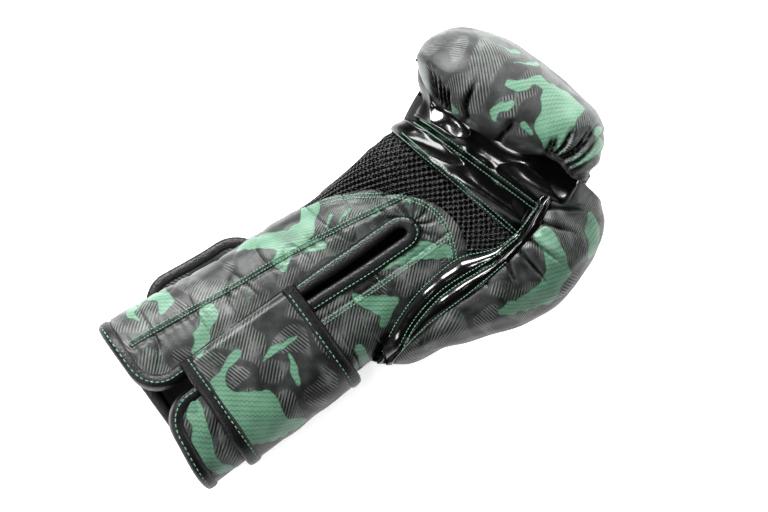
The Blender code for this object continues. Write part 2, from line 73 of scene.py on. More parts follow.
# Sections of the hand: middle x, y, z, heading, swing, reach, half width and the corners' power.
# Those from the pivot's station on swing round it, over the knuckles and up into the roll.
HEADING, SWING, REACH, HALF, POWER = 3, 4, 5, 6, 7
ROLL_SECTIONS = (
    (-90.0, 89.6, 60.0),
    (-62.0, 76.0, 60.5),
    (-35.0, 52.0, 61.0),
    (0.0, 38.5, 61.0),
    (35.0, 34.5, 61.0),
    (70.0, 31.0, 61.0),
    (105.0, 27.0, 60.5),
    (140.0, 21.0, 60.3),
    (175.0, 15.0, 60.1),
    (212.0, 10.0, 60.0),
)
BACK = np.array(
    [
        [0.0, 0.0, 37.0, 0.0, -90.0, 30.0, 50.0, 3.0],
        [100.0, -1.0, 38.0, 0.0, -90.0, 31.5, 48.0, 3.0],
        [150.0, -3.0, 43.0, 4.0, -90.0, 39.5, 47.0, 2.8],
        [197.0, -2.0, 57.0, 11.0, -90.0, 54.5, 51.0, 2.6],
        [*KNEE, FIST_TURN, -90.0, 73.5, 57.0, 2.5],
        *([*PIVOT, FIST_TURN, *section, 2.5] for section in ROLL_SECTIONS),
    ]
)
PALM_HEIGHT = np.array([30.0, 30.0, 29.0, 21.0, 13.0, 4.0])
# Sections of the thumb: middle x, y, z, outward reach, half height
THUMB = np.array(
    [
        [113.0, -45.0, 39.0, 2.0, 8.0],
        [132.0, -52.0, 43.0, 12.0, 22.0],
        [158.0, -52.8, 47.0, 18.2, 27.0],
        [187.0, -54.2, 51.0, 27.5, 30.0],
        [213.0, -54.0, 56.0, 33.5, 31.0],
        [238.0, -50.6, 61.0, 30.5, 30.0],
        [257.0, -46.6, 64.0, 23.0, 23.0],
        [269.0, -44.2, 65.0, 11.0, 12.0],
    ]
)
THUMB_POWER = 2.3
THINNEST = 0.4


def to_world(points):
    return (np.asarray(points, float) - CENTRE) * MM


def unit(vectors):
    return vectors / np.maximum(np.linalg.norm(vectors, axis=-1, keepdims=True), 1e-9)


def smooth(low, high, value):
    """0 below low, 1 above high, and a smooth step between them. low may be the larger."""
    share = np.clip((np.asarray(value, float) - low) / (high - low), 0, 1)
    return share * share * (3 - 2 * share)


def spline(values, s):
    """A smooth curve through equally spaced rows, read at s, which counts from the first."""
    last = len(values) - 1
    s = np.clip(np.asarray(s, float), 0, last)
    i = np.minimum(s.astype(int), last - 1)
    u = s - i
    if values.ndim > 1:
        u = u[..., None]
    before, here, after = values[np.maximum(i - 1, 0)], values[i], values[i + 1]
    beyond = values[np.minimum(i + 2, last)]
    bend = 2 * before - 5 * here + 4 * after - beyond
    swing = 3 * here - before - 3 * after + beyond
    return 0.5 * (2 * here + (after - before) * u + bend * u**2 + swing * u**3)


# How far the hand's side is drawn in under the roll, against the distance forward in the fist
WAIST = ((-25, 5, 16, 27, 36, 46, 54, 61, 75, 95, 110), (0, 1, 5, 14, 20, 17, 11, 5, 2, 0.5, 0))


def in_fist(points):
    """How far forward and how far aside in the fist each point lies."""
    local = points - FIST_ORIGIN
    return local @ FIST_FORWARD, local @ FIST_LATERAL


def shaped(points):
    """Draws the hand's waist in, rounds the roll's end, and widens the wrist and the cuff."""
    points = np.asarray(points, float)
    forward, lateral = in_fist(points)
    drawn_in = np.interp(forward, *WAIST) * smooth(14, 60, lateral)
    corner = 5 * smooth(25, 55, -lateral) * smooth(60, 92, forward)
    points = points - FIST_LATERAL * drawn_in[..., None] + FIST_FORWARD * corner[..., None]
    x, y = points[..., 0], points[..., 1]
    wider = 6 * smooth(85, 15, x) + 1.8 * smooth(135, 160, x) * smooth(215, 190, x)
    y += wider * smooth(12, 50, y)
    wider = 2.5 * smooth(130, 95, x) + 2 * smooth(45, 10, x)
    y -= wider * smooth(12, 50, -y)
    x -= 3.2 * smooth(40, 5, x) * smooth(15, 50, -y)
    return points


STATION_GRID = np.linspace(0, PIVOT_STATION, 1501)
STATION_X = spline(BACK[:, 0], STATION_GRID)


def station_at(x):
    return np.interp(x, STATION_X, STATION_GRID)


def middle_y(x):
    return spline(BACK[:, 1], station_at(x))


def spine(s):
    """The middle line that the hand's sections stand on, which ends at the fist's pivot."""
    s = np.asarray(s, float)
    return np.where((s >= PIVOT_STATION)[..., None], PIVOT, spline(BACK[:, :3], s))


def headings(degrees):
    """The directions forward and aside of a section that is turned this far."""
    turn = np.radians(degrees)
    out, side, zero = np.cos(turn), np.sin(turn), np.zeros_like(turn)
    return np.stack([out, side, zero], -1), np.stack([-side, out, zero], -1)


def superellipse(angle, power):
    """The cosine and sine of an angle in radians, pushed out onto a squarer curve."""
    out, side = np.cos(angle), np.sin(angle)
    grow = (np.abs(out) ** power + np.abs(side) ** power) ** (-1 / power)
    return out * grow, side * grow


def crown_at(aside, power):
    """The height of that curve at a share of its half width."""
    return (1 - np.abs(aside) ** power) ** (1 / power)


def arc(middle, outward, sideways, reach, half, power, degrees):
    out, side = superellipse(np.radians(degrees), power)
    return middle + outward * (reach * out)[..., None] + sideways * (half * side)[..., None]


def back_surface(s, degrees, inset=0.0):
    """The back of the hand, from the cuff under the hand and over the knuckles to the roll."""
    s, degrees = np.broadcast_arrays(np.asarray(s, float), np.asarray(degrees, float))
    row = spline(BACK, s)
    forward, lateral = headings(row[..., HEADING])
    swing = np.radians(np.maximum(row[..., SWING], -90.0))[..., None]
    outward = forward * np.cos(swing) + UPWARD * np.sin(swing)
    reach = np.maximum(row[..., REACH] - inset, THINNEST)
    half = np.maximum(row[..., HALF] - inset, THINNEST)
    return arc(spine(s), outward, lateral, reach, half, row[..., POWER], degrees)


def palm_surface(s, degrees, inset=0.0):
    s, degrees = np.broadcast_arrays(np.asarray(s, float), np.asarray(degrees, float))
    row = spline(BACK, s)
    reach = np.maximum(spline(PALM_HEIGHT, s) - inset, THINNEST)
    half = np.maximum(row[..., HALF] - inset, THINNEST)
    lateral = headings(row[..., HEADING])[1]
    return arc(spine(s), UPWARD, lateral, reach, half, row[..., POWER], degrees)


def degrees_aside(x, aside):
    """The palm angle at which a point lies this far aside from the glove's middle line."""
    row = spline(BACK, station_at(x))
    side = np.clip(aside / row[..., HALF], -0.9999, 0.9999)
    return np.degrees(np.arctan2(side, crown_at(side, row[..., POWER])))


def aside_of(x, degrees):
    """How far aside from the glove's middle line the palm lies at this angle."""
    row = spline(BACK, station_at(x))
    return row[..., HALF] * superellipse(np.radians(degrees), row[..., POWER])[1]


def thumb_surface(s, degrees):
    row = spline(THUMB, s)
    ahead = spline(THUMB[:, :3], s + 0.1) - spline(THUMB[:, :3], s - 0.1)
    outward = unit(np.stack([ahead[..., 1], -ahead[..., 0], np.zeros_like(s)], -1))
    return arc(row[..., :3], outward, UPWARD, row[..., 3], row[..., 4], THUMB_POWER, degrees)


# ---------------------------------------------------------------- surface detail


def grid(along, across):
    return np.meshgrid(np.linspace(0, 1, along), np.linspace(0, 1, across), indexing="ij")


def ripple(points, scale, seed, waves=7):
    """A smooth made-up field between about -1 and 1, with lumps of about this many millimetres."""
    draw = np.random.RandomState(seed)
    total = np.zeros(points.shape[:-1])
    for _ in range(waves):
        direction = draw.normal(size=points.shape[-1])
        direction /= np.linalg.norm(direction)
        pitch = 2 * math.pi / (scale * draw.uniform(0.7, 1.6))
        total += np.sin(points @ direction * pitch + draw.uniform(0, 6.3))
    return total / math.sqrt(waves)


def bell(distance, width):
    """1 at no distance, falling away smoothly on both sides."""
    return np.exp(-((distance / width) ** 2))


def valley(distance, width):
    """1 on a crease's line and 0 away from it, with a narrow floor."""
    return np.exp(-np.abs(distance / width) ** 1.4)


def side_seam(degrees, depth=1.3, width=3.2):
    """The groove along the seam at either side of the hand, where palm and back meet."""
    return depth * bell(90 - np.abs(degrees), width)


def segment_gap(plan, start, end):
    """The distance in plan to a segment, and the share along it of its nearest point."""
    step = np.subtract(end, start).astype(float)
    away = plan - np.array(start, float)
    share = np.clip((away @ step) / max(step @ step, 1e-6), 0, 1)
    return np.linalg.norm(away - share[..., None] * step, axis=-1), share


def line_distance(points, line):
    """The shortest distance in plan from each point to a line through the given points."""
    gaps = [segment_gap(points[..., :2], *ends)[0] for ends in zip(line[:-1], line[1:])]
    return np.min(gaps, axis=0)


def surface_cross(surface):
    return np.cross(np.gradient(surface, axis=0), np.gradient(surface, axis=1))


def normals_of(surface, inside):
    """Unit normals of a grid surface, pointing away from the points called inside."""
    normal = unit(surface_cross(surface))
    return normal * np.sign(np.sum(normal * (surface - inside)))


def walked(surface, axis=0):
    """Millimetres walked along one way of a grid, or along a path, from 0 at its start."""
    steps = np.linalg.norm(np.diff(surface, axis=axis), axis=-1)
    zero = np.zeros_like(np.take(steps, [0], axis=axis))
    return np.concatenate([zero, np.cumsum(steps, axis=axis)], axis=axis)


FIRST_ROW, LAST_ROW, FIRST_COLUMN, LAST_COLUMN = range(4)


def edge_distances(surface):
    """Millimetres along the grid to its first and last row, and its first and last column."""
    result = []
    for axis in (0, 1):
        gone = walked(surface, axis)
        result += [gone, np.take(gone, [-1], axis=axis) - gone]
    return result


def tucked(surface, edges, depth=1.1, width=3.2):
    """How far each point is drawn in towards the seams on the named edges of its panel."""
    distances = edge_distances(surface)
    return np.max([depth * np.exp(-((distances[k] / width) ** 1.5)) for k in edges], axis=0)


def print_map_of(surface, start_x):
    """Walked distances over a grid: along from start_x, and across from its middle column."""
    middle = surface.shape[1] // 2
    across = walked(surface, 1)
    result = np.zeros_like(surface)
    result[..., 0] = walked(surface[:, middle])[:, None] + start_x
    result[..., 1] = across - across[:, middle : middle + 1]
    return result


# ---------------------------------------------------------------- meshes

SKIN = 1.6
SHARP_ANGLE = math.radians(58)


def put_in_scene(name, data):
    obj = bpy.data.objects.new(name, data)
    bpy.context.scene.collection.objects.link(obj)
    return obj


def finish_mesh(name, points, faces, material, attributes):
    mesh = bpy.data.meshes.new(name)
    mesh.from_pydata([tuple(p) for p in to_world(points)], [], faces)
    for key, values in attributes.items():
        kind, field = ("FLOAT_VECTOR", "vector") if values.ndim == 2 else ("FLOAT", "value")
        made = mesh.attributes.new(key, kind, "POINT")
        made.data.foreach_set(field, np.ascontiguousarray(values, np.float32).ravel())
    mesh.materials.append(material)
    mesh.validate()
    mesh.shade_smooth()
    mesh.set_sharp_from_angle(angle=SHARP_ANGLE)
    return put_in_scene(name, mesh)


def grid_faces(index, flip):
    quads = np.stack([index[:-1, :-1], index[1:, :-1], index[1:, 1:], index[:-1, 1:]], -1)
    quads = quads.reshape(-1, 4)
    return quads[:, ::-1] if flip else quads


def slab(name, outer, inside, thickness, material, attributes):
    """A closed sheet of this thickness under a grid surface. inside is a point on its inner side."""
    normal = normals_of(outer, inside)
    flip = np.sum(surface_cross(outer) * normal) < 0
    count = outer.shape[0] * outer.shape[1]
    index = np.arange(count).reshape(outer.shape[:2])
    rim = np.concatenate([index[0, :], index[1:, -1], index[-1, -2::-1], index[-2:0:-1, 0]])
    following = np.roll(rim, -1)
    side = np.stack([rim, following, following + count, rim + count], -1)
    side = side if flip else side[:, ::-1]
    faces = [grid_faces(index, flip), grid_faces(index + count, not flip), side]
    doubled = {
        key: np.concatenate([values.reshape(count, -1)] * 2).squeeze()
        for key, values in attributes.items()
    }
    points = np.concatenate([outer.reshape(-1, 3), (outer - normal * thickness).reshape(-1, 3)])
    return finish_mesh(name, shaped(points), np.concatenate(faces).tolist(), material, doubled)


def path_frames(points, normals):
    """Unit directions sideways and outward along a path."""
    tangent = unit(np.gradient(points, axis=0))
    normal = unit(normals - tangent * np.sum(normals * tangent, -1, keepdims=True))
    return np.cross(tangent, normal), normal


def beside(path, normals, distance):
    """The same path moved sideways on its surface."""
    return path + path_frames(path, normals)[0] * distance


def resample(points, step):
    """The same path with evenly spaced points."""
    gone = walked(points)
    at = np.linspace(0, gone[-1], max(int(round(gone[-1] / step)), 2) + 1)
    return np.stack([np.interp(at, gone, values) for values in points.T], -1)


def eased(points, rounds=3):
    """The same path with its corners rounded off."""
    points = np.asarray(points, float)
    for _ in range(rounds):
        cut = np.empty((2 * len(points) - 2, points.shape[1]))
        cut[0::2] = 0.75 * points[:-1] + 0.25 * points[1:]
        cut[1::2] = 0.25 * points[:-1] + 0.75 * points[1:]
        points = np.concatenate([points[:1], cut, points[-1:]])
    return points


def tube_faces(rows, ring):
    """The faces of a closed tube made of rings of points, with a cap at each end."""
    faces = []
    for row in range(rows - 1):
        for k in range(ring):
            a, b = row * ring + k, row * ring + (k + 1) % ring
            faces.append((a, b, b + ring, a + ring))
    last = (rows - 1) * ring
    return faces + [tuple(range(ring))[::-1], tuple(range(last, last + ring))]


def sweep(name, points, normals, profile, material, wobble=(0.0, 0)):
    """A closed bar along a path. The profile is its half width, half height and corners' power,
    and the wobble is how much its thickness varies and a seed."""
    sideways, normal = path_frames(points, normals)
    profile = rounded_profile(*profile)
    scale = (1 + wobble[0] * ripple(points, 22, wobble[1]))[:, None, None]
    across = sideways[:, None, :] * profile[None, :, :1] + normal[:, None, :] * profile[None, :, 1:]
    body = points[:, None, :] + scale * across
    print_map = np.zeros_like(body)
    print_map[..., 0] = walked(points)[:, None]
    print_map[..., 1] = np.cumsum(np.linalg.norm(np.diff(profile, axis=0, append=profile[:1]), axis=1))
    faces = tube_faces(len(points), len(profile))
    attributes = {"print_mm": print_map.reshape(-1, 3)}
    obj = finish_mesh(name, shaped(body.reshape(-1, 3)), faces, material, attributes)
    make_outward(obj.data)
    return obj


def make_outward(mesh):
    """Turns the faces of a closed mesh outward if its volume comes out negative."""
    mesh.calc_loop_triangles()
    places = np.array([v.co for v in mesh.vertices])
    corners = places[np.array([t.vertices for t in mesh.loop_triangles])]
    if np.sum(corners[:, 0] * np.cross(corners[:, 1], corners[:, 2])) < 0:
        mesh.flip_normals()


def rounded_profile(half_width, half_height, power, count=20):
    """Pairs (sideways, outward) that go round a bar."""
    out, side = superellipse(np.linspace(0, 2 * np.pi, count, endpoint=False), power)
    return np.stack([half_width * out, half_height * side], -1)


# ---------------------------------------------------------------- stitches

STITCH_RADIUS = 0.36
STITCH_LIFT = 0.18
# The pitch of each kind of stitch, and its length
PANEL_STITCH = (2.0, 1.45)
SLIT_STITCH = (2.6, 1.8)
TAPE_STITCH = (3.0, 2.1)
# Where a stitch looks for its surface: from this far outside, and over this length
RAY_START = 12 * MM
RAY_LENGTH = 30 * MM
# A stitch is a short bar of six-sided rings: their places along it, and their radii
RINGS = ((-0.5, 0.55), (-0.4, 0.95), (0.0, 1.1), (0.4, 0.95), (0.5, 0.55))
CAPSULE = np.array(
    [
        (x, radius * math.cos(math.pi * k / 3), radius * math.sin(math.pi * k / 3))
        for x, radius in RINGS
        for k in range(6)
    ]
)
CAPSULE_FACES = tube_faces(len(RINGS), 6)


def surface_tree(*objects):
    """A tree of the finished surfaces, to lay stitches on."""
    points, faces = [], []
    for obj in objects:
        offset = len(points)
        points += [v.co.copy() for v in obj.data.vertices]
        faces += [[v + offset for v in p.vertices] for p in obj.data.polygons]
    return BVHTree.FromPolygons(points, faces)


def laid_on(tree, points, normals):
    """Each point moved along its normal onto the surface, and the surface's normal, or None."""
    laid = []
    for point, normal in zip(to_world(points), normals):
        normal = Vector(normal)
        hit, facing, _, _ = tree.ray_cast(Vector(point) + normal * RAY_START, -normal, RAY_LENGTH)
        if hit is None:
            laid.append(None)
            continue
        if facing.dot(normal) < 0:
            facing = -facing
        laid.append((np.array(hit) / MM + CENTRE, np.array(facing)))
    return laid


def stitch_row(tree, path, normals, pitch, length):
    """The stitches of one row along a path, each as the points of its bar."""
    even = resample(np.concatenate([path, normals], 1), pitch)
    laid = laid_on(tree, shaped(even[:, :3]), even[:, 3:])
    made = []
    for first, second in zip(laid[:-1], laid[1:]):
        if first is None or second is None:
            continue
        step = second[0] - first[0]
        gap = np.linalg.norm(step)
        if not 0.2 * pitch <= gap <= 2.5 * pitch:
            continue
        along = step / gap
        normal = first[1] + second[1]
        normal = unit(normal - along * (normal @ along))
        centre = (first[0] + second[0]) / 2 + normal * STITCH_LIFT
        wide, tall = np.cross(along, normal) * STITCH_RADIUS, normal * STITCH_RADIUS * 0.8
        made.append(centre + CAPSULE @ np.array([along * length, wide, tall]))
    return made


def join_stitches(name, stitches, material):
    faces = []
    for k in range(len(stitches)):
        faces += [tuple(i + k * len(CAPSULE) for i in face) for face in CAPSULE_FACES]
    return finish_mesh(name, np.concatenate(stitches), faces, material, {})


# ---------------------------------------------------------------- camouflage print

# Each stroke is a row of circles in plan, (x, y, radius); together they are the mint patches.
PALM_STROKES = [
    [(264, 27, 2.4), (266, 24, 3.4), (271, 21, 2.8), (276, 21, 2), (280, 18, 3), (282, 12, 3.6)],
    [(282, 12, 3.6), (280, 0, 10.5), (270, -8, 10), (264, -15, 6)],
    [(280, 0, 10), (285, -5, 5.6)],
    [(274, 50, 0.6), (281, 39, 1.2)],
    [(274, 35, 0.5), (286, 27, 1.2)],
    [(230, 37, 2.2), (232, 32, 1.8)],
    [(245, 14, 1.2), (249, 18, 2.2), (257, 17, 2.4)],
    [(256, 2, 2.6), (257, -3, 2)],
    [(266, -30, 1.5), (282, -34, 3), (288, -24, 2)],
    [(278, -40, 2), (272, -50, 2.6)],
    [(232, -52, 5), (231, -63, 6), (228, -73, 6), (215, -79, 5.5), (204, -78, 4)],
    [(205, -78, 4), (194, -74, 3), (187, -73, 1.5)],
    [(260, -60, 3.5), (257, -67, 4), (251, -76, 4)],
    [(151, -5, 2.5), (160, -9, 4), (167, -14, 5), (175, -20, 4.5), (184, -27, 4)],
    [(160, -14, 4), (150, -13, 2.5)],
    [(183, 9, 2)],
    [(165, 14, 2.6), (161, 14, 2)],
    [(126, -17, 1.6), (130, -23, 3.5), (136, -30, 5), (141, -31, 4), (131, -38, 2.5)],
    [(111, -41, 4), (110, -48, 3.5), (103, -50, 4.5)],
    [(90, 45, 2), (101, 42, 4), (108, 37, 5), (116, 31, 6), (127, 31, 5), (137, 39, 4.5)],
    [(112, 30, 5), (106, 25, 4), (103, 20, 2.5)],
    [(121, 22, 4), (128, 19, 3)],
    [(137, 25, 0.9), (145, 28, 1.2)],
    [(146, 22, 0.9), (153, 24, 1.2)],
    [(19, 41, 1.3), (18, 46, 2.2), (24, 50, 3), (32, 51, 3.5), (38, 47, 4.5), (40, 41, 4)],
    [(40, 42, 3), (35, 39, 2), (33, 37, 1)],
    [(55, 24, 4.5), (50, 20, 4), (44, 16, 4.5), (38, 11, 4)],
    [(34, -20, 5.5), (37, -30, 9), (44, -34, 9.5), (50, -36, 7), (48, -46, 7), (38, -42, 8)],
    [(52, -47, 5), (56, -51, 3), (62, -55, 3.2)],
    [(34, -18, 4), (36, -10, 3), (44, -6.5, 2.2), (53, -5, 3.8)],
    [(63, -16.5, 0.9), (72, -14.5, 2.2), (88, -15, 0.8)],
    [(78, -22, 1.2), (75, -29, 2.2), (72, -35, 1.2)],
    [(19, -11, 2.5), (15, -18, 5), (11, -30, 5), (9, -42, 4), (14, -50, 3)],
]


def scattered_strokes(count, low, high, seed):
    """Patches of the script's own making for the sides that face away, over a rectangle."""
    draw = np.random.RandomState(seed)
    strokes = []
    for _ in range(count):
        x, y = draw.uniform(low[0], high[0]), draw.uniform(low[1], high[1])
        heading = draw.uniform(0, 6.3)
        stroke = []
        for _ in range(draw.randint(2, 5)):
            stroke.append((x, y, draw.uniform(2.0, 7.5)))
            heading += draw.uniform(-1.0, 1.0)
            x += 11 * math.cos(heading)
            y += 11 * math.sin(heading)
        strokes.append(stroke)
    return strokes


HIDDEN_STROKES = scattered_strokes(120, (-560, -170), (420, 170), 5)
STROKE_BLEND = 0.8
FAR = 40.0


def stroke_distance(plan, strokes):
    """Distance in plan to the edge of the nearest patch, negative inside it."""
    total = np.zeros(plan.shape[:-1])
    for stroke in strokes:
        for first, second in list(zip(stroke[:-1], stroke[1:])) or [(stroke[0], stroke[0])]:
            gap, share = segment_gap(plan, first[:2], second[:2])
            radius = first[2] + (second[2] - first[2]) * share
            total += np.exp(-np.minimum(gap - radius, FAR) / STROKE_BLEND)
    return np.clip(-STROKE_BLEND * np.log(np.maximum(total, 1e-12)), -FAR, FAR)


def print_fields(surface, print_map, normal, relief):
    """The attributes that the camouflage material reads."""
    wide = surface * np.array([1.0, 1.0, 0.5])
    warp = np.stack([ripple(wide, 9, 21), ripple(wide, 9, 22)], -1) * 0.9
    facing_up = smooth(-0.15, 0.25, normal[..., 2])
    seen = stroke_distance(surface[..., :2] + warp, PALM_STROKES)
    unseen = stroke_distance(print_map[..., :2] + warp, HIDDEN_STROKES)
    return {
        "mint": seen * facing_up + unseen * (1 - facing_up),
        "lines": ripple(wide, 42, 31) + 0.5 * ripple(wide, 17, 32),
        "scuffs": ripple(wide, 34, 41) + 0.4 * ripple(wide, 12, 42),
        # The panel's height, which the material turns into painted shade in the creases and painted
        # highlight on the ridges
        "relief": relief + np.zeros(surface.shape[:-1]),
    }


# ---------------------------------------------------------------- materials


class Tree:
    """A short way to write a material's nodes."""

    def __init__(self, name):
        self.material = bpy.data.materials.new(name)
        self.material.use_nodes = True
        self.nodes = self.material.node_tree.nodes
        self.links = self.material.node_tree.links
        self.shader = self.nodes["Principled BSDF"]

    def put(self, socket, value):
        if isinstance(value, bpy.types.NodeSocket):
            self.links.new(value, socket)
        elif socket.type == "RGBA":
            socket.default_value = (*value, 1.0)
        else:
            socket.default_value = value

    def add(self, kind, output, inputs, **settings):
        """A node's output, with its settings, and its inputs by name or number."""
        node = self.nodes.new(f"ShaderNode{kind}")
        for key, value in settings.items():
            setattr(node, key, value)
        for key, value in inputs.items():
            self.put(node.inputs[key], value)
        return node.outputs[output]

    def attribute(self, name, output="Fac"):
        return self.add("Attribute", output, {}, attribute_name=name)

    def place(self, mapped=True):
        """Millimetres on the print map, or on the object where a shape has no such map."""
        if mapped:
            return self.attribute("print_mm", "Vector")
        return self.vector("SCALE", self.add("TexCoord", "Object", {}), 1000.0)

    def world_place(self):
        return self.vector("SCALE", self.add("NewGeometry", "Position", {}), 1000.0)

    def math(self, operation, a, b=0.0, clamp=False):
        return self.add("Math", 0, {0: a, 1: b}, operation=operation, use_clamp=clamp)

    def plus(self, a, b, clamp=False):
        return self.math("ADD", a, b, clamp)

    def less(self, a, b, clamp=False):
        return self.math("SUBTRACT", a, b, clamp)

    def times(self, a, b, clamp=False):
        return self.math("MULTIPLY", a, b, clamp)

    def vector(self, operation, a, b, output="Vector"):
        second = "Scale" if operation == "SCALE" else 1
        return self.add("VectorMath", output, {0: a, second: b}, operation=operation)

    def dot(self, a, b):
        return self.vector("DOT_PRODUCT", a, b, "Value")

    def stripes(self, at, direction, pitch):
        """A wave between -1 and 1 along a direction, repeating every pitch."""
        return self.math("SINE", self.times(self.dot(at, direction), 2 * math.pi / pitch))

    def noise(self, at, scale, detail=3.0, rough=0.55):
        inputs = {"Vector": at, "Scale": scale, "Detail": detail, "Roughness": rough}
        return self.add("TexNoise", "Fac", inputs)

    def cells(self, at, scale):
        return self.add("TexVoronoi", "Distance", {"Vector": at, "Scale": scale})

    def step(self, value, low, high):
        """0 below low and 1 above high."""
        inputs = {"Value": value, "From Min": low, "From Max": high}
        return self.add("MapRange", "Result", inputs, interpolation_type="SMOOTHSTEP")

    def mix(self, factor, a, b):
        """A mix of two colours. They are the node's seventh and eighth inputs."""
        return self.add("Mix", 2, {0: factor, 6: a, 7: b}, data_type="RGBA")

    def tint(self, base, mask, amount, colour):
        """The base, drawn this far towards a colour where the mask is 1."""
        return self.mix(self.times(mask, amount), base, colour)

    def bump(self, height, distance, strength):
        inputs = {"Height": height, "Distance": distance, "Strength": strength}
        return self.add("Bump", "Normal", inputs)

    def finish(self, **inputs):
        for key, value in inputs.items():
            self.put(self.shader.inputs[key.replace("_", " ")], value)
        return self.material


HATCH_DIRECTIONS = ((-0.67, 0.74, 0.0), (0.96, 0.28, 0.0))
HATCH_PITCH = 1.75
ZIGZAG_PITCH = 2.6


def camouflage_material():
    t = Tree("camouflage_leather")
    at = t.place()
    mint_edge = t.attribute("mint")
    ragged = t.times(t.less(t.noise(at, 0.8, 4.0), 0.5), 1.1)
    mint = t.step(t.plus(mint_edge, ragged), 0.25, -0.25)

    cloud = t.noise(at, 0.055, 4.0)
    fine = t.noise(at, 1.1, 3.0)
    base = t.mix(t.step(cloud, 0.35, 0.7), (0.012, 0.0125, 0.0125), (0.14, 0.146, 0.142))
    base = t.tint(base, t.step(fine, 0.35, 0.8), 0.3, (0.11, 0.115, 0.11))
    scratchy = t.noise(t.vector("MULTIPLY", at, (0.35, 1.0, 1.0)), 0.5, 6.0, 0.75)
    scuffed = t.step(t.attribute("scuffs"), 0.15, 0.9)
    scuff = t.times(scuffed, t.step(scratchy, 0.46, 0.66), clamp=True)
    base = t.tint(base, scuff, 0.75, (0.07, 0.125, 0.09))

    # Fine parallel lines, in two directions on different patches
    lines_field = t.attribute("lines")
    waves = [t.stripes(at, direction, HATCH_PITCH) for direction in HATCH_DIRECTIONS]
    patches = (t.step(lines_field, -0.15, 0.15), t.step(lines_field, -0.75, -1.0))

    def hatch(low, high):
        drawn = [t.times(on, t.step(wave, low, high)) for on, wave in zip(patches, waves)]
        return t.plus(*drawn, clamp=True)

    dark, pale = hatch(-0.1, 0.5), hatch(-0.1, -0.8)
    base = t.tint(base, t.less(1.0, t.plus(*patches), clamp=True), 0.65, (0.009, 0.0095, 0.0095))
    broken = t.step(t.noise(at, 0.12, 4.0), 0.34, 0.52)
    base = t.tint(base, t.times(dark, broken), 0.85, (0.004, 0.004, 0.004))
    base = t.tint(base, t.times(pale, broken), 0.36, (0.2, 0.21, 0.2))

    # Zigzag rows printed on the mint
    wave = t.times(t.math("PINGPONG", t.dot(at, tuple(ACROSS_IMAGE)), 1.4), 0.6)
    row = t.math("DIVIDE", t.plus(t.dot(at, tuple(UP_IMAGE)), wave), ZIGZAG_PITCH)
    zigzag = t.step(t.math("ABSOLUTE", t.less(t.math("FRACT", row), 0.5)), 0.2, 0.08)
    mint_colour = t.mix(zigzag, (0.112, 0.208, 0.148), (0.066, 0.142, 0.095))
    mint_colour = t.tint(mint_colour, t.step(cloud, 0.4, 0.75), 0.5, (0.165, 0.28, 0.21))
    colour = t.mix(mint, base, mint_colour)
    outline = t.less(1.0, t.times(t.math("ABSOLUTE", mint_edge), 1.6), clamp=True)
    colour = t.tint(colour, outline, 0.55, (0.012, 0.03, 0.02))

    # Painted shade: the colour is darkened in the creases, where the panel lies low. Painted
    # highlight: the print is drawn paler on the ridges, where it stands high.
    relief = t.attribute("relief")
    colour = t.tint(colour, t.step(relief, -0.4, -2.2), 0.85, (0.002, 0.003, 0.002))
    colour = t.tint(colour, t.step(relief, 0.7, 2.2), 0.35, (0.24, 0.28, 0.25))

    height = t.plus(t.times(t.cells(at, 1.5), 0.5), t.times(t.noise(at, 3.4, 2.0), 0.4))
    height = t.plus(height, t.times(t.times(mint, zigzag), 0.35))
    height = t.less(height, t.times(dark, 0.3))
    return t.finish(
        Base_Color=colour,
        Roughness=t.plus(0.33, t.times(fine, 0.16)),
        Normal=t.bump(height, 0.00022, 0.55),
        Specular_IOR_Level=0.5,
    )


def patent_material(name, mapped):
    t = Tree(name)
    at = t.place(mapped)
    return t.finish(
        Base_Color=t.mix(t.noise(at, 0.12), (0.0025, 0.0025, 0.0025), (0.008, 0.008, 0.008)),
        Roughness=t.plus(0.17, t.times(t.noise(at, 0.5), 0.08)),
        Normal=t.bump(t.noise(at, 0.1, 1.0), 0.001, 0.25),
        Specular_IOR_Level=0.7,
        Coat_Weight=0.7,
        Coat_Roughness=0.06,
    )


def mesh_fabric_material():
    t = Tree("hole_mesh_fabric")
    knit = t.stripes(t.place(), (0.9, 0.43, 0.0), 0.55)
    thread = t.mix(t.step(knit, -0.6, 0.8), (0.03, 0.03, 0.031), (0.13, 0.13, 0.135))
    # The holes are painted near black: the dark layer under the mesh, with painted shade for the
    # hollow of each hole
    hole = t.step(t.attribute("hole"), 0.2, 0.5)
    return t.finish(
        Base_Color=t.mix(hole, thread, (0.0008, 0.0008, 0.0008)),
        Roughness=0.8,
        Normal=t.bump(knit, 0.0002, 0.6),
        Specular_IOR_Level=0.15,
    )


def binding_material():
    t = Tree("binding_leather")
    at = t.place()
    cloud = t.noise(at, 0.16, 4.0)
    return t.finish(
        Base_Color=t.mix(cloud, (0.003, 0.003, 0.0035), (0.012, 0.012, 0.013)),
        Roughness=t.plus(0.3, t.times(cloud, 0.2)),
        Normal=t.bump(t.plus(t.cells(at, 1.2), t.noise(at, 0.5)), 0.0003, 0.5),
        Specular_IOR_Level=0.5,
    )


def fibre_material(t, pattern, low, high, colours, roughness, depth, strength, sheen):
    """A cloth or thread whose colour and bump follow one pattern."""
    return t.finish(
        Base_Color=t.mix(t.step(pattern, low, high), *colours),
        Roughness=roughness,
        Normal=t.bump(pattern, depth, strength),
        Sheen_Weight=sheen,
    )


def thread_material():
    t = Tree("mint_thread")
    twist = t.stripes(t.world_place(), (0.7, 0.5, 0.5), 0.35)
    colours = ((0.075, 0.18, 0.12), (0.21, 0.37, 0.28))
    return fibre_material(t, twist, -0.4, 0.9, colours, 0.6, 0.0001, 0.5, 0.1)


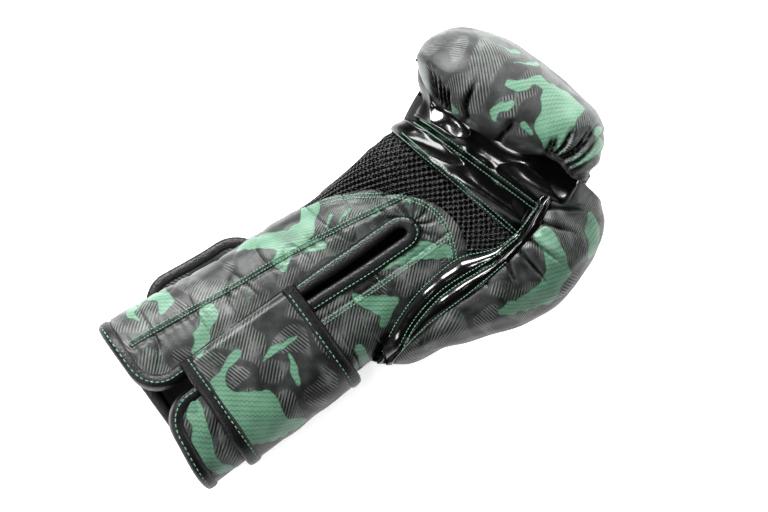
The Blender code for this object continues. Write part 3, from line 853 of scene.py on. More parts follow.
def lining_material(name, mapped):
    t = Tree(name)
    at = t.place(mapped)
    weave = t.times(*(t.stripes(at, way, 0.9) for way in ((1.0, 0.0, 0.0), (0.0, 1.0, 0.0))))
    colours = ((0.006, 0.006, 0.006), (0.022, 0.022, 0.023))
    return fibre_material(t, weave, -0.7, 0.7, colours, 0.75, 0.0003, 0.6, 0.2)


def hook_loop_material():
    t = Tree("hook_and_loop")
    pile = t.cells(t.world_place(), 0.9)
    colours = ((0.03, 0.03, 0.031), (0.004, 0.004, 0.004))
    return fibre_material(t, pile, 0.1, 0.6, colours, 0.9, 0.0006, 1.0, 0.3)


def floor_material():
    t = Tree("pale_floor")
    tone = t.noise(t.add("NewGeometry", "Position", {}), 3.0)
    return t.finish(
        Base_Color=t.mix(tone, (0.86, 0.86, 0.87), (0.9, 0.9, 0.9)),
        Roughness=0.9,
        Emission_Color=(1.0, 1.0, 1.0),
        Emission_Strength=0.42,
    )


CAMOUFLAGE = camouflage_material()
PATENT = patent_material("patent_leather", True)
HOLE_MESH = mesh_fabric_material()
BINDING = binding_material()
THREAD = thread_material()
LINING = lining_material("lining_fabric", True)

# ---------------------------------------------------------------- pieces

SIDES = {1: "little_finger", -1: "thumb"}
STRAP_PARTS = ("palm", "side", "back")
STRAP_BLENDS = (
    ("flap_little_finger", "strap_palm", (0, 14.0, 70.0), (0, 0.0, 72.0)),
    ("strap_palm", "strap_side", (0, -20.0, 72.0), (0, -44.0, 48.0)),
    ("strap_side", "strap_back", (0, -44.0, 12.0), (0, -4.0, 2.0)),
)


def ride_flap(piece):
    """Bakes the piece's placement into its points."""
    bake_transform(piece)


def ride_strap(piece, part):
    """Bakes the piece's placement into its points. It looks up the part's blend, start and end, but
    does not use them.
    """
    first, second, start, end = STRAP_BLENDS[part]
    start, end = np.array(start, float) * MM, np.array(end, float) * MM
    start[0] = end[0] = to_world([50.0, 0, 0])[0]
    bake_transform(piece)


def hand_over(piece, slot, nodes=(), body="glove", side=None, part=None, fill=None):
    """Ties a piece to its body, or bakes its placement in if it is a flap's or a strap part's, and
    hides the CAD nodes that it stands for. The slot and the padding are not used.
    """
    if side is not None:
        ride_flap(piece)
    elif part is not None:
        ride_strap(piece, part)
    else:
        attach(piece, body)
    if nodes:
        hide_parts(*nodes)
    return piece


def add_tape(name, nodes, points, normals, profile, wobble=(0.0, 0), **where):
    """A binding tape along a path."""
    tape = sweep(name, points, normals, profile, BINDING, wobble)
    return hand_over(tape, "binding", nodes, **where)


def panel(name, base, inside, height, material, mapping=None, thickness=SKIN, hole=None,
          relief_shift=0.0, lowest=-math.inf):
    """A sheet raised over a base grid, with the attributes that its material reads."""
    normal = normals_of(base, inside)
    mapping = print_map_of(base, 0.0) if mapping is None else mapping
    fields = {"print_mm": mapping}
    if material == CAMOUFLAGE:
        fields.update(print_fields(base, mapping, normal, height + relief_shift))
    if hole is not None:
        fields["hole"] = hole
    surface = base + normal * height[..., None]
    surface[..., 2] = np.maximum(surface[..., 2], lowest)
    return slab(name, surface, inside, thickness, material, fields)


# ---------------------------------------------------------------- fist and back

INDEX_PLEATS = (-38, -14, 8, 26, 41, 57, 70, 86, 99, 117, 131, 148, 163)
FINGER_PLEATS = (10, 40, 62, 80, 98, 112, 128, 143, 158, 170)
# Folds on the finger roll, seen from above. They fan out from its seam at both ends.
ROLL_FOLDS = (
    ((258, -17), (262, -16), (266, -13)),
    ((260, -19), (265, -17), (268, -14)),
    ((262, -21), (270, -20), (278, -15)),
    ((263, -24), (274, -26), (284, -21)),
    ((263, -26), (276, -28), (292, -20)),
    ((263, -30), (276, -32), (291, -26)),
    ((263, -33), (275, -36), (285, -33)),
    ((261, -36), (272, -39), (281, -38)),
    ((228, 36), (229, 42), (234, 48)),
    ((227, 39), (228, 47), (233, 53)),
    ((225, 42), (226, 51), (234, 58)),
    ((223, 47), (226, 57), (234, 63)),
    ((224, 54), (227, 62), (234, 67)),
    ((234, 25), (237, 32), (250, 38)),
    ((240, 4), (247, 6), (254, 7)),
)
# How far the roll's inner edge is drawn up along its own length
ROLL_DRAWN_UP = ((-62, -54, -44, -35, -23, 3, 22, 40), (3, 8, 12.5, 11, 6.5, 2.5, 1.5, 0))


def folds_along(points, lines, width):
    """How deep each point lies in folds that start sharp and run out."""
    depth = np.zeros(points.shape[:-1])
    for line in lines:
        line = np.array(line, float)
        length = np.linalg.norm(line[-1] - line[0])
        gone = np.linalg.norm(points[..., :2] - line[0], axis=-1)
        sharp = valley(line_distance(points, eased(line, 2)), width)
        depth = np.maximum(depth, sharp * smooth(1.2 * length, 0.6 * length, gone))
    return depth


def end_pleats(swing, upward, aside, centres, start, full, gone, fullness, width):
    """The padding that stands up at one end of the fist, with pleats cut into it."""
    depth = np.max([valley(swing - centre, width) for centre in centres], axis=0)
    shown = smooth(start, full, aside) * smooth(88, gone, aside)
    return shown * (fullness - 3.0 * depth * (1 - upward))


def build_shell():
    u, v = grid(300, 160)
    s = 0.99 + 13.01 * u
    degrees = -90 + 180 * v
    base = back_surface(s, degrees)
    swing = spline(BACK[:, SWING], s)
    lateral = (base - PIVOT) @ FIST_LATERAL
    drawn_up = np.interp(lateral, *ROLL_DRAWN_UP) * smooth(80, 150, swing)
    drawn_up *= 1 - 0.5 * smooth(165, 205, swing)
    base = base + FIST_FORWARD * drawn_up[..., None]
    upward = smooth(-0.25, 0.15, normals_of(base, spine(s))[..., 2])
    height = 0.45 * ripple(base, 38, 1) + 0.2 * ripple(base, 15, 2)

    widened = 18 * smooth(60, 120, swing)
    index_swing = swing + 6 * np.sin(np.radians(degrees * 4))
    height += smooth(-60, -20, swing) * end_pleats(
        index_swing, upward, -degrees, INDEX_PLEATS, 50 - widened, 76 - widened, 70, 1.4, 3.6
    )
    finger_swing = swing - 5 * np.sin(np.radians(degrees * 3))
    height += smooth(-10, 30, swing) * end_pleats(
        finger_swing, upward, degrees, FINGER_PLEATS, 50 - widened, 78 - widened, 72, 1.2, 3.4
    )
    height -= 3.8 * folds_along(base, ROLL_FOLDS, 1.15) * upward * smooth(5.2, 6.2, s)
    gathers = np.maximum(np.sin(lateral / 3.1 + 1.5 * np.sin(lateral / 9)), 0) ** 2
    gathered = smooth(4.8, 6.2, s) * smooth(140, 172, swing) * (np.abs(lateral) < 58)
    height -= 1.1 * gathers * gathered
    height -= tucked(base, (FIRST_ROW,), 0.6, 3.0)
    height -= side_seam(degrees) * smooth(4.6, 3.6, s)

    mapping = print_map_of(base, 100.0) * np.array([-1.0, 1.0, 1.0])
    shell = panel("shell_back", base, spine(s), height, CAMOUFLAGE, mapping)
    hand_over(shell, "camo", ("main_shell", "impact_foam", "comfort_foam"), fill=0.95)


build_shell()

# ---------------------------------------------------------------- palm

SLIT_END_X = 168.0
SLIT_EDGE = 8.6
CUFF_START = 2.0
FLAP_CORNER = 16.0
FLAP_EDGE = 7.8
SEAM_LITTLE = ((8, 31), (40, 29), (74, 27), (110, 23.5), (150, 17), (183, 11))
SEAM_THUMB = ((101, -16), (130, -17.5), (160, -18.5), (191, -19))
# Stations across the palm where the mesh and the two patent bands end
MESH_TOP = 3.36
PATENT_SEAM = 4.02
PATENT_TOP = 5.0
HOLE_PITCH = np.array([4.2, 4.0])


def heel_top(aside):
    """Where the heel panels end, on an arch that falls away to the little finger's side."""
    fall = 55 * (np.maximum(aside + 8, 0) / 51) ** 2.2 + 20 * (np.maximum(-8 - aside, 0) / 37) ** 2
    return 195 - fall


def corner_cut(aside):
    """How far the flap's rounded corner cuts its edge back."""
    near = np.clip(FLAP_CORNER + FLAP_EDGE - np.abs(aside), 0, FLAP_CORNER)
    return FLAP_CORNER - np.sqrt(FLAP_CORNER**2 - near**2)


def slit_edge(x):
    """How far aside the heel panels' inner edge lies: round the slit's end, then closed."""
    past = np.clip((x - SLIT_END_X) / SLIT_EDGE, 0, 1)
    return SLIT_EDGE * np.sqrt(1 - past**2)


def palm_half_relief(base, degrees, seam, from_slit):
    """The sewn and gathered relief of one half of the palm's skin."""
    height = 0.5 * ripple(base, 30, 3) + 0.22 * ripple(base, 11, 4)
    from_seam = line_distance(base, seam)
    height -= 0.9 * valley(from_seam, 1.3)
    away = base[..., :2] - np.array([SLIT_END_X + 9, -2.5])
    distance = np.linalg.norm(away, axis=-1)
    fan = np.sin(9 * np.arctan2(away[..., 1], away[..., 0]) + 1.2 * np.sin(distance / 4))
    height -= 1.3 * np.maximum(fan, 0) * bell(distance - 6, 9)
    x, y = base[..., 0], base[..., 1]
    gathers = np.sin(x * 1.15 + ripple(base, 25, 7)) * np.exp(-from_seam / 5)
    gathers += np.sin(x * 0.8 + ripple(base, 20, 17)) * np.exp(-from_slit / 7)
    height += 0.22 * gathers
    cuff_folds = np.sin(x / 4.4 + 0.1 * y + 2 * ripple(base, 60, 5))
    height += 0.6 * cuff_folds * smooth(138, 104, x) * smooth(88, 98, x)
    creases = 1 - np.abs(ripple(base[..., :2] / np.array([1.0, 2.2]), 30, 27))
    height -= 0.8 * np.maximum(creases, 0) ** 9
    return height - tucked(base, (LAST_ROW,), 0.8, 2.4) - side_seam(degrees)


def build_palm_half(side, seam, *nodes):
    """One half of the palm's camouflage skin, from the cuff's edge to the arch over the heel."""
    u, v = grid(330, 120)
    first = degrees_aside(20.0, SLIT_EDGE)
    start = CUFF_START + corner_cut(aside_of(20.0, first + (90 - first) * v))
    end = heel_top(side * aside_of(150.0, 90.0 * v))
    x = start + (end - start) * u
    edge = slit_edge(x)
    low = degrees_aside(x, edge)
    degrees = side * (low + (90 - low) * v)
    station = station_at(x)
    base = palm_surface(station, degrees)
    height = palm_half_relief(base, degrees, seam, np.abs(aside_of(x, degrees)) - edge)
    mapping = base * np.array([1.0, 0.0, 0.0])
    mapping[..., 1] = middle_y(x) + side * (edge + walked(base, 1))
    name = f"palm_skin_{SIDES[side]}"
    skin = panel(name, base, spine(station), height, CAMOUFLAGE, mapping)
    return hand_over(skin, "camo", nodes, side=side, fill=0.9)


def across_palm(first, last, along, across):
    """A grid over the palm, from the thumb's side to the other, between two rows of stations."""
    u, v = grid(along, across)
    degrees = -90 + 180 * v
    s = first(degrees) + (last(degrees) - first(degrees)) * u
    base = palm_surface(s, degrees)
    return base, spine(s), degrees, u


def level(station):
    return lambda degrees: np.full_like(degrees, station)


def arch_station(degrees):
    """The stations just inside the heel panels' arched edge."""
    return station_at(heel_top(aside_of(165.0, degrees))) - 0.005


def build_mesh_panel():
    base, inside, degrees, _ = across_palm(arch_station, level(MESH_TOP), 150, 320)
    mapping = print_map_of(base, 0.0)
    along = base[..., 0] * 0.98 + base[..., 1] * 0.2
    cells = np.stack([along, mapping[..., 1]], -1) / HOLE_PITCH
    gaps = []
    for shift in (0.0, 0.5):
        off = cells - shift - np.round(cells - shift)
        gaps.append(np.hypot(off[..., 0] * 1.15, off[..., 1]))
    hole = smooth(0.36, 0.28, np.minimum(*gaps))
    height = 0.25 * ripple(base, 26, 6) - 1.2 * hole - 0.5
    height -= tucked(base, (FIRST_ROW, LAST_ROW), 0.7, 2.0) + side_seam(degrees, 1.2, 3)
    mesh = panel("palm_mesh", base, inside, height, HOLE_MESH, mapping, hole=hole)
    return hand_over(mesh, "mesh", ("palm_mesh_panel",))


def build_grip_band(where, first, last, seed, bulge):
    """A padded patent band over the grip, with soft folds and creases that run along it."""
    base, inside, degrees, u = across_palm(level(first), level(last), 110, 260)
    forward, lateral = in_fist(base)
    stretched = np.stack([forward, lateral / 4.5], -1)
    creased = np.maximum(1 - np.abs(ripple(stretched, 16, seed + 1)), 0) ** 2
    folds = 0.9 * ripple(stretched, 13, seed) + 0.9 * creased
    height = 1.25 * folds * np.minimum(smooth(0, 0.2, u), smooth(1, 0.8, u))
    gathers = np.sin(lateral / 2.6 + 2 * np.sin(lateral / 11))
    height += gathers * (0.2 * smooth(0.4, 0.0, u) + 0.3 * smooth(0.7, 1.0, u))
    height += bulge * np.sin(np.pi * u) ** 0.8
    height -= tucked(base, (FIRST_ROW, LAST_ROW), 1.0, 2.6) + side_seam(degrees, 1.2, 3)
    band = panel(f"grip_band_{where}", base, inside, height, PATENT)
    return hand_over(band, "patent", (f"grip_panel_{where}",))


LITTLE_SKIN = build_palm_half(
    1, SEAM_LITTLE, "cuff_flap_little_finger_panel", "palm_heel_panel", "palm_heel_pad",
    "cuff_flap_little_finger_foam",
)
PALM_THUMB_SKIN = build_palm_half(
    -1, SEAM_THUMB, "cuff_flap_thumb_panel", "palm_heel_panel", "cuff_flap_thumb_foam"
)
MESH_PANEL = build_mesh_panel()
LOWER_BAND = build_grip_band("lower", MESH_TOP, PATENT_SEAM, 60, 1.6)
UPPER_BAND = build_grip_band("upper", PATENT_SEAM, PATENT_TOP, 70, 2.2)

# ---------------------------------------------------------------- thumb

THUMB_LAST = len(THUMB) - 1.0
# Knife pleats on the thumb, in plan: from its inner seam outward, and how deep
THUMB_PLEATS = (
    ((150.0, -47.0), (148.0, -57.0), 1.0),
    ((176.0, -44.0), (173.0, -56.0), 1.2),
    ((193.0, -46.0), (189.0, -60.0), 1.6),
    ((207.5, -46.0), (203.0, -70.0), 3.0),
    ((215.5, -46.0), (219.0, -80.0), 3.6),
    ((223.0, -45.0), (233.0, -76.0), 3.6),
    ((232.0, -41.0), (249.0, -64.0), 3.4),
    ((240.0, -37.0), (261.0, -56.0), 2.8),
)
CREST = 1.0
THUMB_END = 1.6
# Lines that run along the thumb in plan: the skin's inner edge, the line between the two patent
# strips, and where the inner strip meets the palm
SKIN_LINE = (
    (113, -57), (126, -59), (140, -56.5), (152, -54.5), (178, -55), (207, -53), (233, -47),
    (254.5, -35.5), (269, -30.6),
)
STRIP_LINE = (
    (113, -55), (129, -56.5), (144, -48.6), (165, -44), (181, -44.5), (201, -47.2), (220, -46),
    (243.5, -35), (269, -30.2),
)
PALM_LINE = (
    (113, -53.4), (121, -51), (130, -44), (146, -37.5), (159, -34), (173, -32.5), (187, -32),
    (197, -36.5), (206, -41), (221, -41.5), (242, -34.5), (269, -29.8),
)


def on_line(line, x):
    return np.interp(x, *zip(*line))


def palm_rise(x, y):
    """The palm's height over a point in plan."""
    station = np.minimum(station_at(x), 4.7)
    row = spline(BACK, station)
    aside = np.clip(np.abs(y - row[..., 1]) / row[..., HALF], 0, 0.97)
    return row[..., 2] + spline(PALM_HEIGHT, station) * crown_at(aside, row[..., POWER])


def thumb_section(s, t):
    """Round the thumb: t is 0 at its underside, 1 on its crest, and 1.6 where it meets the palm."""
    arc_part = thumb_surface(s, -90 + 180 * np.minimum(t, CREST))
    row = spline(THUMB, s)
    foot_y = np.maximum(on_line(PALM_LINE, row[..., 0]), row[..., 1] + 0.5)
    crest_z = row[..., 2] + row[..., 4]
    foot_z = np.minimum(palm_rise(row[..., 0], foot_y), crest_z - 0.5) - 1.0
    q = np.clip((t - CREST) / (THUMB_END - CREST), 0, 1)
    bridge = arc_part.copy()
    bridge[..., 1] = row[..., 1] + (foot_y - row[..., 1]) * q
    bridge[..., 2] = foot_z + (crest_z - foot_z) * (1 - q**1.9) ** 0.75
    return np.where((t > CREST)[..., None], bridge, arc_part)


def section_at(s, line):
    """The t at which the thumb's section crosses a line in plan, for each s."""
    t = np.linspace(0.5, THUMB_END, 240)
    values = []
    for one in s:
        section = thumb_section(np.full_like(t, one), t)
        wanted = on_line(line, spline(THUMB[:, 0], one))
        values.append(np.interp(wanted, np.maximum.accumulate(section[:, 1]), t))
    return np.array(values)


def thumb_panel(name, node_names, first, last, shape, material, slot, detail, edges, fill=None):
    """A panel along the whole thumb, between two of its lines, or from its underside."""
    rows, columns = shape
    s = THUMB_LAST * np.linspace(0, 1, rows)
    start = np.zeros(rows) if first is None else section_at(s, first)
    end = np.maximum(section_at(s, last), start + 0.004)
    v = np.linspace(0, 1, columns)[None, :]
    t = start[:, None] + (end - start)[:, None] * v
    s = s[:, None] + np.zeros_like(t)
    base = thumb_section(s, t)
    inside = spline(THUMB[:, :3], s)
    width = edge_distances(base)
    narrow = smooth(0.5, 5.0, width[FIRST_COLUMN] + width[LAST_COLUMN])
    height = (detail(base, v) - tucked(base, edges, 1.2, 2.4)) * narrow
    mapping = print_map_of(base, 100.0) - np.array([0.0, 60.0, 0.0])
    piece = panel(name, base, inside, height, material, mapping)
    return hand_over(piece, slot, node_names, fill=fill)


def knife_pleats(points):
    """Gathered tucks: a sharp groove with a fold standing up along its far side."""
    height = np.zeros(points.shape[:-1])
    for start, end, depth in THUMB_PLEATS:
        step = np.subtract(end, start)
        length = np.linalg.norm(step)
        away = points[..., :2] - np.array(start)
        along = away @ step / length
        across = away @ np.array([-step[1], step[0]]) / length
        reach = smooth(-6, 0, along) * smooth(1.05 * length, 0.5 * length, along)
        fold = bell(across - 3.2, 2.4) + 0.4 * bell(across + 3.0, 2.2)
        height += depth * reach * (0.24 * fold - 0.6 * valley(across, 0.9))
    return height


def thumb_skin_detail(base, v):
    height = 0.6 * ripple(base, 30, 8) + 0.25 * ripple(base, 12, 9)
    return height + knife_pleats(base) * smooth(0.4, 0.6, v)


def strip_detail(base, v):
    folds = ripple(base[..., :2] / np.array([1.6, 5.0]), 6, 12)
    return 1.6 * np.sin(np.pi * v) ** 0.8 + 0.22 * folds


THUMB_SKIN = thumb_panel(
    "thumb_skin", ("thumb_shell", "thumb_foam", "thumb_lining"), None, SKIN_LINE, (280, 165),
    CAMOUFLAGE, "camo", thumb_skin_detail, (LAST_COLUMN,), fill=0.95,
)
STRIP_OUTER, STRIP_INNER = (
    thumb_panel(
        f"thumb_strip_{where}", (f"thumb_gusset_{where}",), *lines, (240, 30), PATENT, "patent",
        strip_detail, (FIRST_COLUMN, LAST_COLUMN),
    )
    for where, lines in (("outer", (SKIN_LINE, STRIP_LINE)), ("inner", (STRIP_LINE, PALM_LINE)))
)


def build_lock_tab():
    """The short patent tab that ties the thumb's tip to the fist, deep in the gap."""
    start = FIST_ORIGIN + FIST_FORWARD * 44 + FIST_LATERAL * -44 + UPWARD * 82
    end = FIST_ORIGIN + FIST_FORWARD * 52 + FIST_LATERAL * -60 + UPWARD * 76
    share = np.linspace(0, 1, 16)[:, None]
    points = start + (end - start) * share + UPWARD * 3 * np.sin(np.pi * share)
    normals = UPWARD + np.zeros_like(points)
    tab = sweep("thumb_tip_tab", points, normals, (6.5, 1.4, 3.0), PATENT)
    hand_over(tab, "patent", ("thumb_lock_tab",))


build_lock_tab()

# ---------------------------------------------------------------- cuff

WALL = 10.3
CUFF_X = 1.6
CUFF_END_X = 100.0
# Where the flap's rounded corner has run out, on its lining
CORNER_END_X = 26.0
SEAM_DEGREES = 89.6
FLAP_SIDES = (1, -1)


def palm_path(plan, inset):
    """Points and normals along a line of (x, aside) over the palm."""
    x, aside = resample(plan, 1.2).T
    station, degrees = station_at(x), degrees_aside(x, aside)
    points = palm_surface(station, degrees, inset)
    return points, unit(points - palm_surface(station, degrees, inset + 3))


def flap_edge_plan(side):
    """From the side seam along the cuff's edge, round the corner and down the slit's side."""
    plan = [(CUFF_X, aside_of(CUFF_X + 0.5, d)) for d in np.linspace(SEAM_DEGREES, 40, 24)]
    plan = [p for p in plan if p[1] > FLAP_EDGE + FLAP_CORNER]
    for a in np.radians(np.linspace(0, 90, 16)):
        x = CUFF_X + FLAP_CORNER * (1 - math.cos(a))
        plan.append((x, FLAP_EDGE + FLAP_CORNER * (1 - math.sin(a))))
    return np.array([*plan, (CUFF_END_X, FLAP_EDGE)]) * np.array([1, side])


def slit_plan(side, outward, last, count):
    """Down one edge of the slit and round its end, this far outward of the tape's middle."""
    plan = [(101.0, 5.4 + outward), (150.0, 6.4 + outward), (SLIT_END_X, 6.6 + outward)]
    for a in np.radians(np.linspace(8, last, count)):
        x = SLIT_END_X + (8.0 + outward) * math.sin(a)
        plan.append((x, (6.6 + outward) * math.cos(a)))
    return np.array(plan) * np.array([1, side])


def build_flap_binding(side):
    points, normals = palm_path(flap_edge_plan(side), WALL / 2)
    name, profile = f"cuff_flap_{SIDES[side]}_binding", (4.3, WALL / 2 + 1.6, 3.4)
    body = f"flap_{SIDES[side]}"
    return add_tape(f"{name}_tape", (name,), points, normals, profile, (0.03, 3), body=body)


def build_slit_binding(side):
    points, normals = palm_path(slit_plan(side, 0.0, 90, 12), 0.6)
    name, profile, wobble = f"slit_tape_{SIDES[side]}", (4.1, 3.0, 2.8), (0.06, 5 + side)
    return add_tape(name, ("slit_binding",), points, normals, profile, wobble, side=side)


def build_cuff_back():
    u, v = grid(110, 200)
    degrees = -90 + 180 * v
    station = station_at(CUFF_START + (CUFF_END_X - CUFF_START) * u)
    base = back_surface(station, degrees)
    height = 0.4 * ripple(base, 30, 14) - tucked(base, (LAST_ROW,), 0.8, 2.4) - side_seam(degrees)
    skin = panel("cuff_back_skin", base, spine(station), height, CAMOUFLAGE)
    hand_over(skin, "camo", ("cuff_back_panel", "cuff_back_foam"), fill=0.9)


def build_cuff_back_tape():
    degrees = np.linspace(-SEAM_DEGREES, SEAM_DEGREES, 90)
    station = station_at(CUFF_X + 0.5)
    points = back_surface(station, degrees, WALL / 2)
    normals = unit(back_surface(station, degrees, WALL / 2 - 3) - points)
    points[:, 0] = CUFF_X
    profile = (4.3, WALL / 2 + 1.4, 3.4)
    add_tape("cuff_back_tape", ("cuff_back_binding",), points, normals, profile)


def back_lining_surface(x, v):
    return back_surface(station_at(x), -89 + 178 * v, WALL - 1)


def flap_lining_surface(side):
    def surface(x, v):
        turned = np.clip((CORNER_END_X - x) / (CORNER_END_X - CUFF_START), 0, 1)
        edge = FLAP_EDGE + FLAP_CORNER * (1 - np.sqrt(1 - turned**2))
        low = degrees_aside(x, edge + 1)
        return palm_surface(station_at(x), side * (low + (89 - low) * v), WALL - 1)

    return surface


def build_lining(name, node, surface_of, body="glove"):
    u, v = grid(60, 60)
    x = CUFF_X + 1 + (CUFF_END_X - CUFF_X - 2) * u
    base = surface_of(x, v)
    height = 0.25 * ripple(base, 12, 15)
    piece = panel(name, base, spine(station_at(x)), height, LINING, thickness=1.0)
    hand_over(piece, "lining", (node,), body=body)


TAPES = {side: build_flap_binding(side) for side in FLAP_SIDES}
SLIT_TAPES = {side: build_slit_binding(side) for side in FLAP_SIDES}
build_cuff_back()
build_cuff_back_tape()
for side in FLAP_SIDES:
    node = f"cuff_flap_{SIDES[side]}_lining"
    surface_of = flap_lining_surface(side)
    build_lining(f"cuff_lining_{SIDES[side]}", node, surface_of, f"flap_{SIDES[side]}")
build_lining("cuff_lining_back", "cuff_back_lining", back_lining_surface)

# ---------------------------------------------------------------- strap

STRAP_X = (29.0, 98.0)
STRAP_THICK = 4.0
STRAP_TIP_Y = 56.0
STRAP_START = -11.0
STRAP_LAST = 146.0
# Angles round the cuff where the strap's three parts meet
STRAP_CUTS = (16.0, 96.0)
LYING = 0.15
TIP_RADIUS = 18.0
TAPE_SINK = STRAP_THICK / 2 - 0.2


def cuff_ring(x, degrees, offset):
    """Round the whole cuff: 0 is the middle of the palm side, 90 the thumb's side."""
    station = station_at(x)
    palm = palm_surface(station, -np.minimum(degrees, 90), -offset)
    back = back_surface(station, np.maximum(degrees, 90) - 180, -offset)
    return np.where((degrees <= 90)[..., None], palm, back)


def strap_course(x):
    """The strap's outer face at one x, from its seam to its tip, and the angles round the cuff."""
    degrees = np.linspace(STRAP_START, STRAP_LAST, 150)
    clearance = 0.4 + 4.1 * smooth(100, 150, degrees)
    ring = cuff_ring(np.full_like(degrees, x), degrees, clearance + STRAP_THICK)
    ring[:, 2] = np.maximum(ring[:, 2], LYING)
    y = np.linspace(ring[-1, 1] + 4, STRAP_TIP_Y, 40)
    flat = np.stack([np.full_like(y, x), y, np.full_like(y, LYING)], -1)
    return np.concatenate([ring, flat]), degrees


MIDDLE_COURSE, MIDDLE_DEGREES = strap_course(sum(STRAP_X) / 2)
MIDDLE_WALK = walked(MIDDLE_COURSE)
STRAP_LENGTH = MIDDLE_WALK[-1]
FIRST_CUT, SECOND_CUT = np.interp(STRAP_CUTS, MIDDLE_DEGREES, MIDDLE_WALK[: len(MIDDLE_DEGREES)])
STRAP_SPANS = ((0.0, FIRST_CUT), (FIRST_CUT, SECOND_CUT), (SECOND_CUT, STRAP_LENGTH))


def strap_at(x, walk):
    """A point on the strap's outer face: x, and how far along from the seam."""
    course, _ = strap_course(x)
    gone = walked(course)
    share = np.asarray(walk) / STRAP_LENGTH * gone[-1]
    return np.stack([np.interp(share, gone, values) for values in course.T], -1)


def inside_cuff(points):
    """A place inside the cuff for each point on the strap, for its faces to turn away from."""
    inside = points * np.array([1.0, 0.0, 0.0]) + UPWARD * 37.0
    inside[..., 1] = np.clip(points[..., 1], -30, 45)
    return inside


def build_strap_web(part):
    first, last = STRAP_SPANS[part]
    walk = np.linspace(first, last, int((last - first) / 0.7))
    v = np.linspace(0, 1, 96)
    x = STRAP_X[0] + (STRAP_X[1] - STRAP_X[0]) * v
    base = np.stack([strap_at(one, walk) for one in x], axis=1)
    if part == 2:
        reach = np.clip((np.abs(v - 0.5) - 0.22) / 0.28, 0, 1)
        cut = 17 * (1 - np.sqrt(1 - reach**2))
        base[..., 1] -= smooth(0.55, 1.0, (walk - first) / (last - first))[:, None] * cut
    height = 0.9 + 0.4 * ripple(base, 34, 50) + 0.25 * ripple(base, 14, 51)
    height *= np.sin(np.pi * v) ** 0.5 * (0.15 if part == 2 else 1.0)
    if part == 0:
        height -= 2.2 * bell(walk, 2.2)[:, None]
    mapping = base * np.array([1.0, 0.0, 0.0])
    mapping[..., 1] = (11.0 - walk)[:, None]
    name = f"strap_{STRAP_PARTS[part]}"
    # The relief is shifted down on the strap, which gives it more painted shade in its hollows and
    # less painted highlight on its ridges
    web = panel(f"{name}_web", base, inside_cuff(base), height, CAMOUFLAGE, mapping,
                thickness=STRAP_THICK, relief_shift=-0.6, lowest=0.1)
    hand_over(web, "camo", (f"{name}_panel",), part=part, fill=0.8)


def strap_edge(part, x):
    """Points along the strap's outer face at one x, and the directions out of it."""
    first, last = STRAP_SPANS[part]
    outer = strap_at(x, np.linspace(first, last, int((last - first) / 1.2)))
    normals = unit(np.cross(np.gradient(outer, axis=0), np.array([1.0, 0.0, 0.0])))
    outward = np.sum(normals * (outer - inside_cuff(outer)), -1, keepdims=True)
    return outer, normals * np.sign(outward)


def build_strap_tape(part, where, x):
    outer, normals = strap_edge(part, x)
    points = outer - normals * TAPE_SINK
    name, nodes = f"strap_{STRAP_PARTS[part]}", (f"strap_{STRAP_PARTS[part]}_binding_{where}",)
    profile = (4.2, 3.1, 2.8)
    return add_tape(f"{name}_tape_{where}", nodes, points, normals, profile, (0.04, 9), part=part)


def build_strap_tip_tape():
    """The tape round the strap's free end: along both edges and round the rounded tip."""
    first, last = STRAP_SPANS[2]
    walk = np.linspace(first, last - 18, 70)
    turn = np.radians(np.linspace(0, 90, 10))
    edges, corners = [], []
    for x, inward in ((STRAP_X[0] - 0.5, 1), (STRAP_X[1] + 0.5, -1)):
        edges.append(strap_at(x, walk))
        y = STRAP_TIP_Y - TIP_RADIUS + TIP_RADIUS * np.sin(turn)
        bend = x + inward * TIP_RADIUS * (1 - np.cos(turn))
        corners.append(np.stack([bend, y, np.full_like(y, LYING)], -1))
    path = np.concatenate([edges[0], corners[0], corners[1][::-1], edges[1][::-1]])
    path = resample(path, 1.2)
    tangent = np.gradient(path, axis=0)
    raised = smooth(0, 40, path[:, 2])
    lower = np.stack([np.zeros_like(raised), raised * -1.5, raised - 1], -1)
    lower -= tangent * (np.sum(lower * tangent, -1) / np.sum(tangent * tangent, -1))[:, None]
    normals = unit(lower)
    points = path - normals * TAPE_SINK
    points[:, 2] = np.maximum(points[:, 2], 2.3)
    profile = (3.8, 2.3, 2.6)
    add_tape("strap_tip_tape", ("strap_back_binding",), points, normals, profile, part=2)


STRAP_EDGES = {"wrist_side": (STRAP_X[0], -1.0), "hand_side": (STRAP_X[1], 1.0)}
for part in range(3):
    build_strap_web(part)
STRAP_TAPES = {
    (part, where): build_strap_tape(part, where, x + outward)
    for part in (0, 1)
    for where, (x, outward) in STRAP_EDGES.items()
}
build_strap_tip_tape()

# ---------------------------------------------------------------- stitching


def plan_row(tree, plan, gap=0.0):
    """A row of stitches over the glove along a line in plan, or two rows with a gap between."""
    path = resample(eased([(x, y, 80.0) for x, y in plan]), 1.0)
    normals = UPWARD + np.zeros_like(path)
    rows = []
    for aside in (-gap / 2, gap / 2) if gap else (0.0,):
        rows += stitch_row(tree, beside(path, normals, aside), normals, *PANEL_STITCH)
    return rows


def moved(line, y):
    return [(point[0], point[1] + y) for point in line]


def sew(name, rows, **where):
    if rows:
        hand_over(join_stitches(name, rows, THREAD), "binding", **where)


def arch_plan(low, high):
    """A line just inside the heel panels' arched edge."""
    aside = np.linspace(low, high, 24)
    x = heel_top(aside) - 3.2
    return list(zip(x, middle_y(x) + aside))


def seam_plan(station, inset=0.0):
    """A line across the hand at a station, moved forward by the inset."""
    row = spline(BACK, station)
    forward, lateral = headings(row[HEADING])
    aside = np.linspace(-0.9, 0.9, 30)[:, None] * row[HALF]
    return [tuple(p[:2]) for p in row[:3] + lateral * aside + forward * inset]


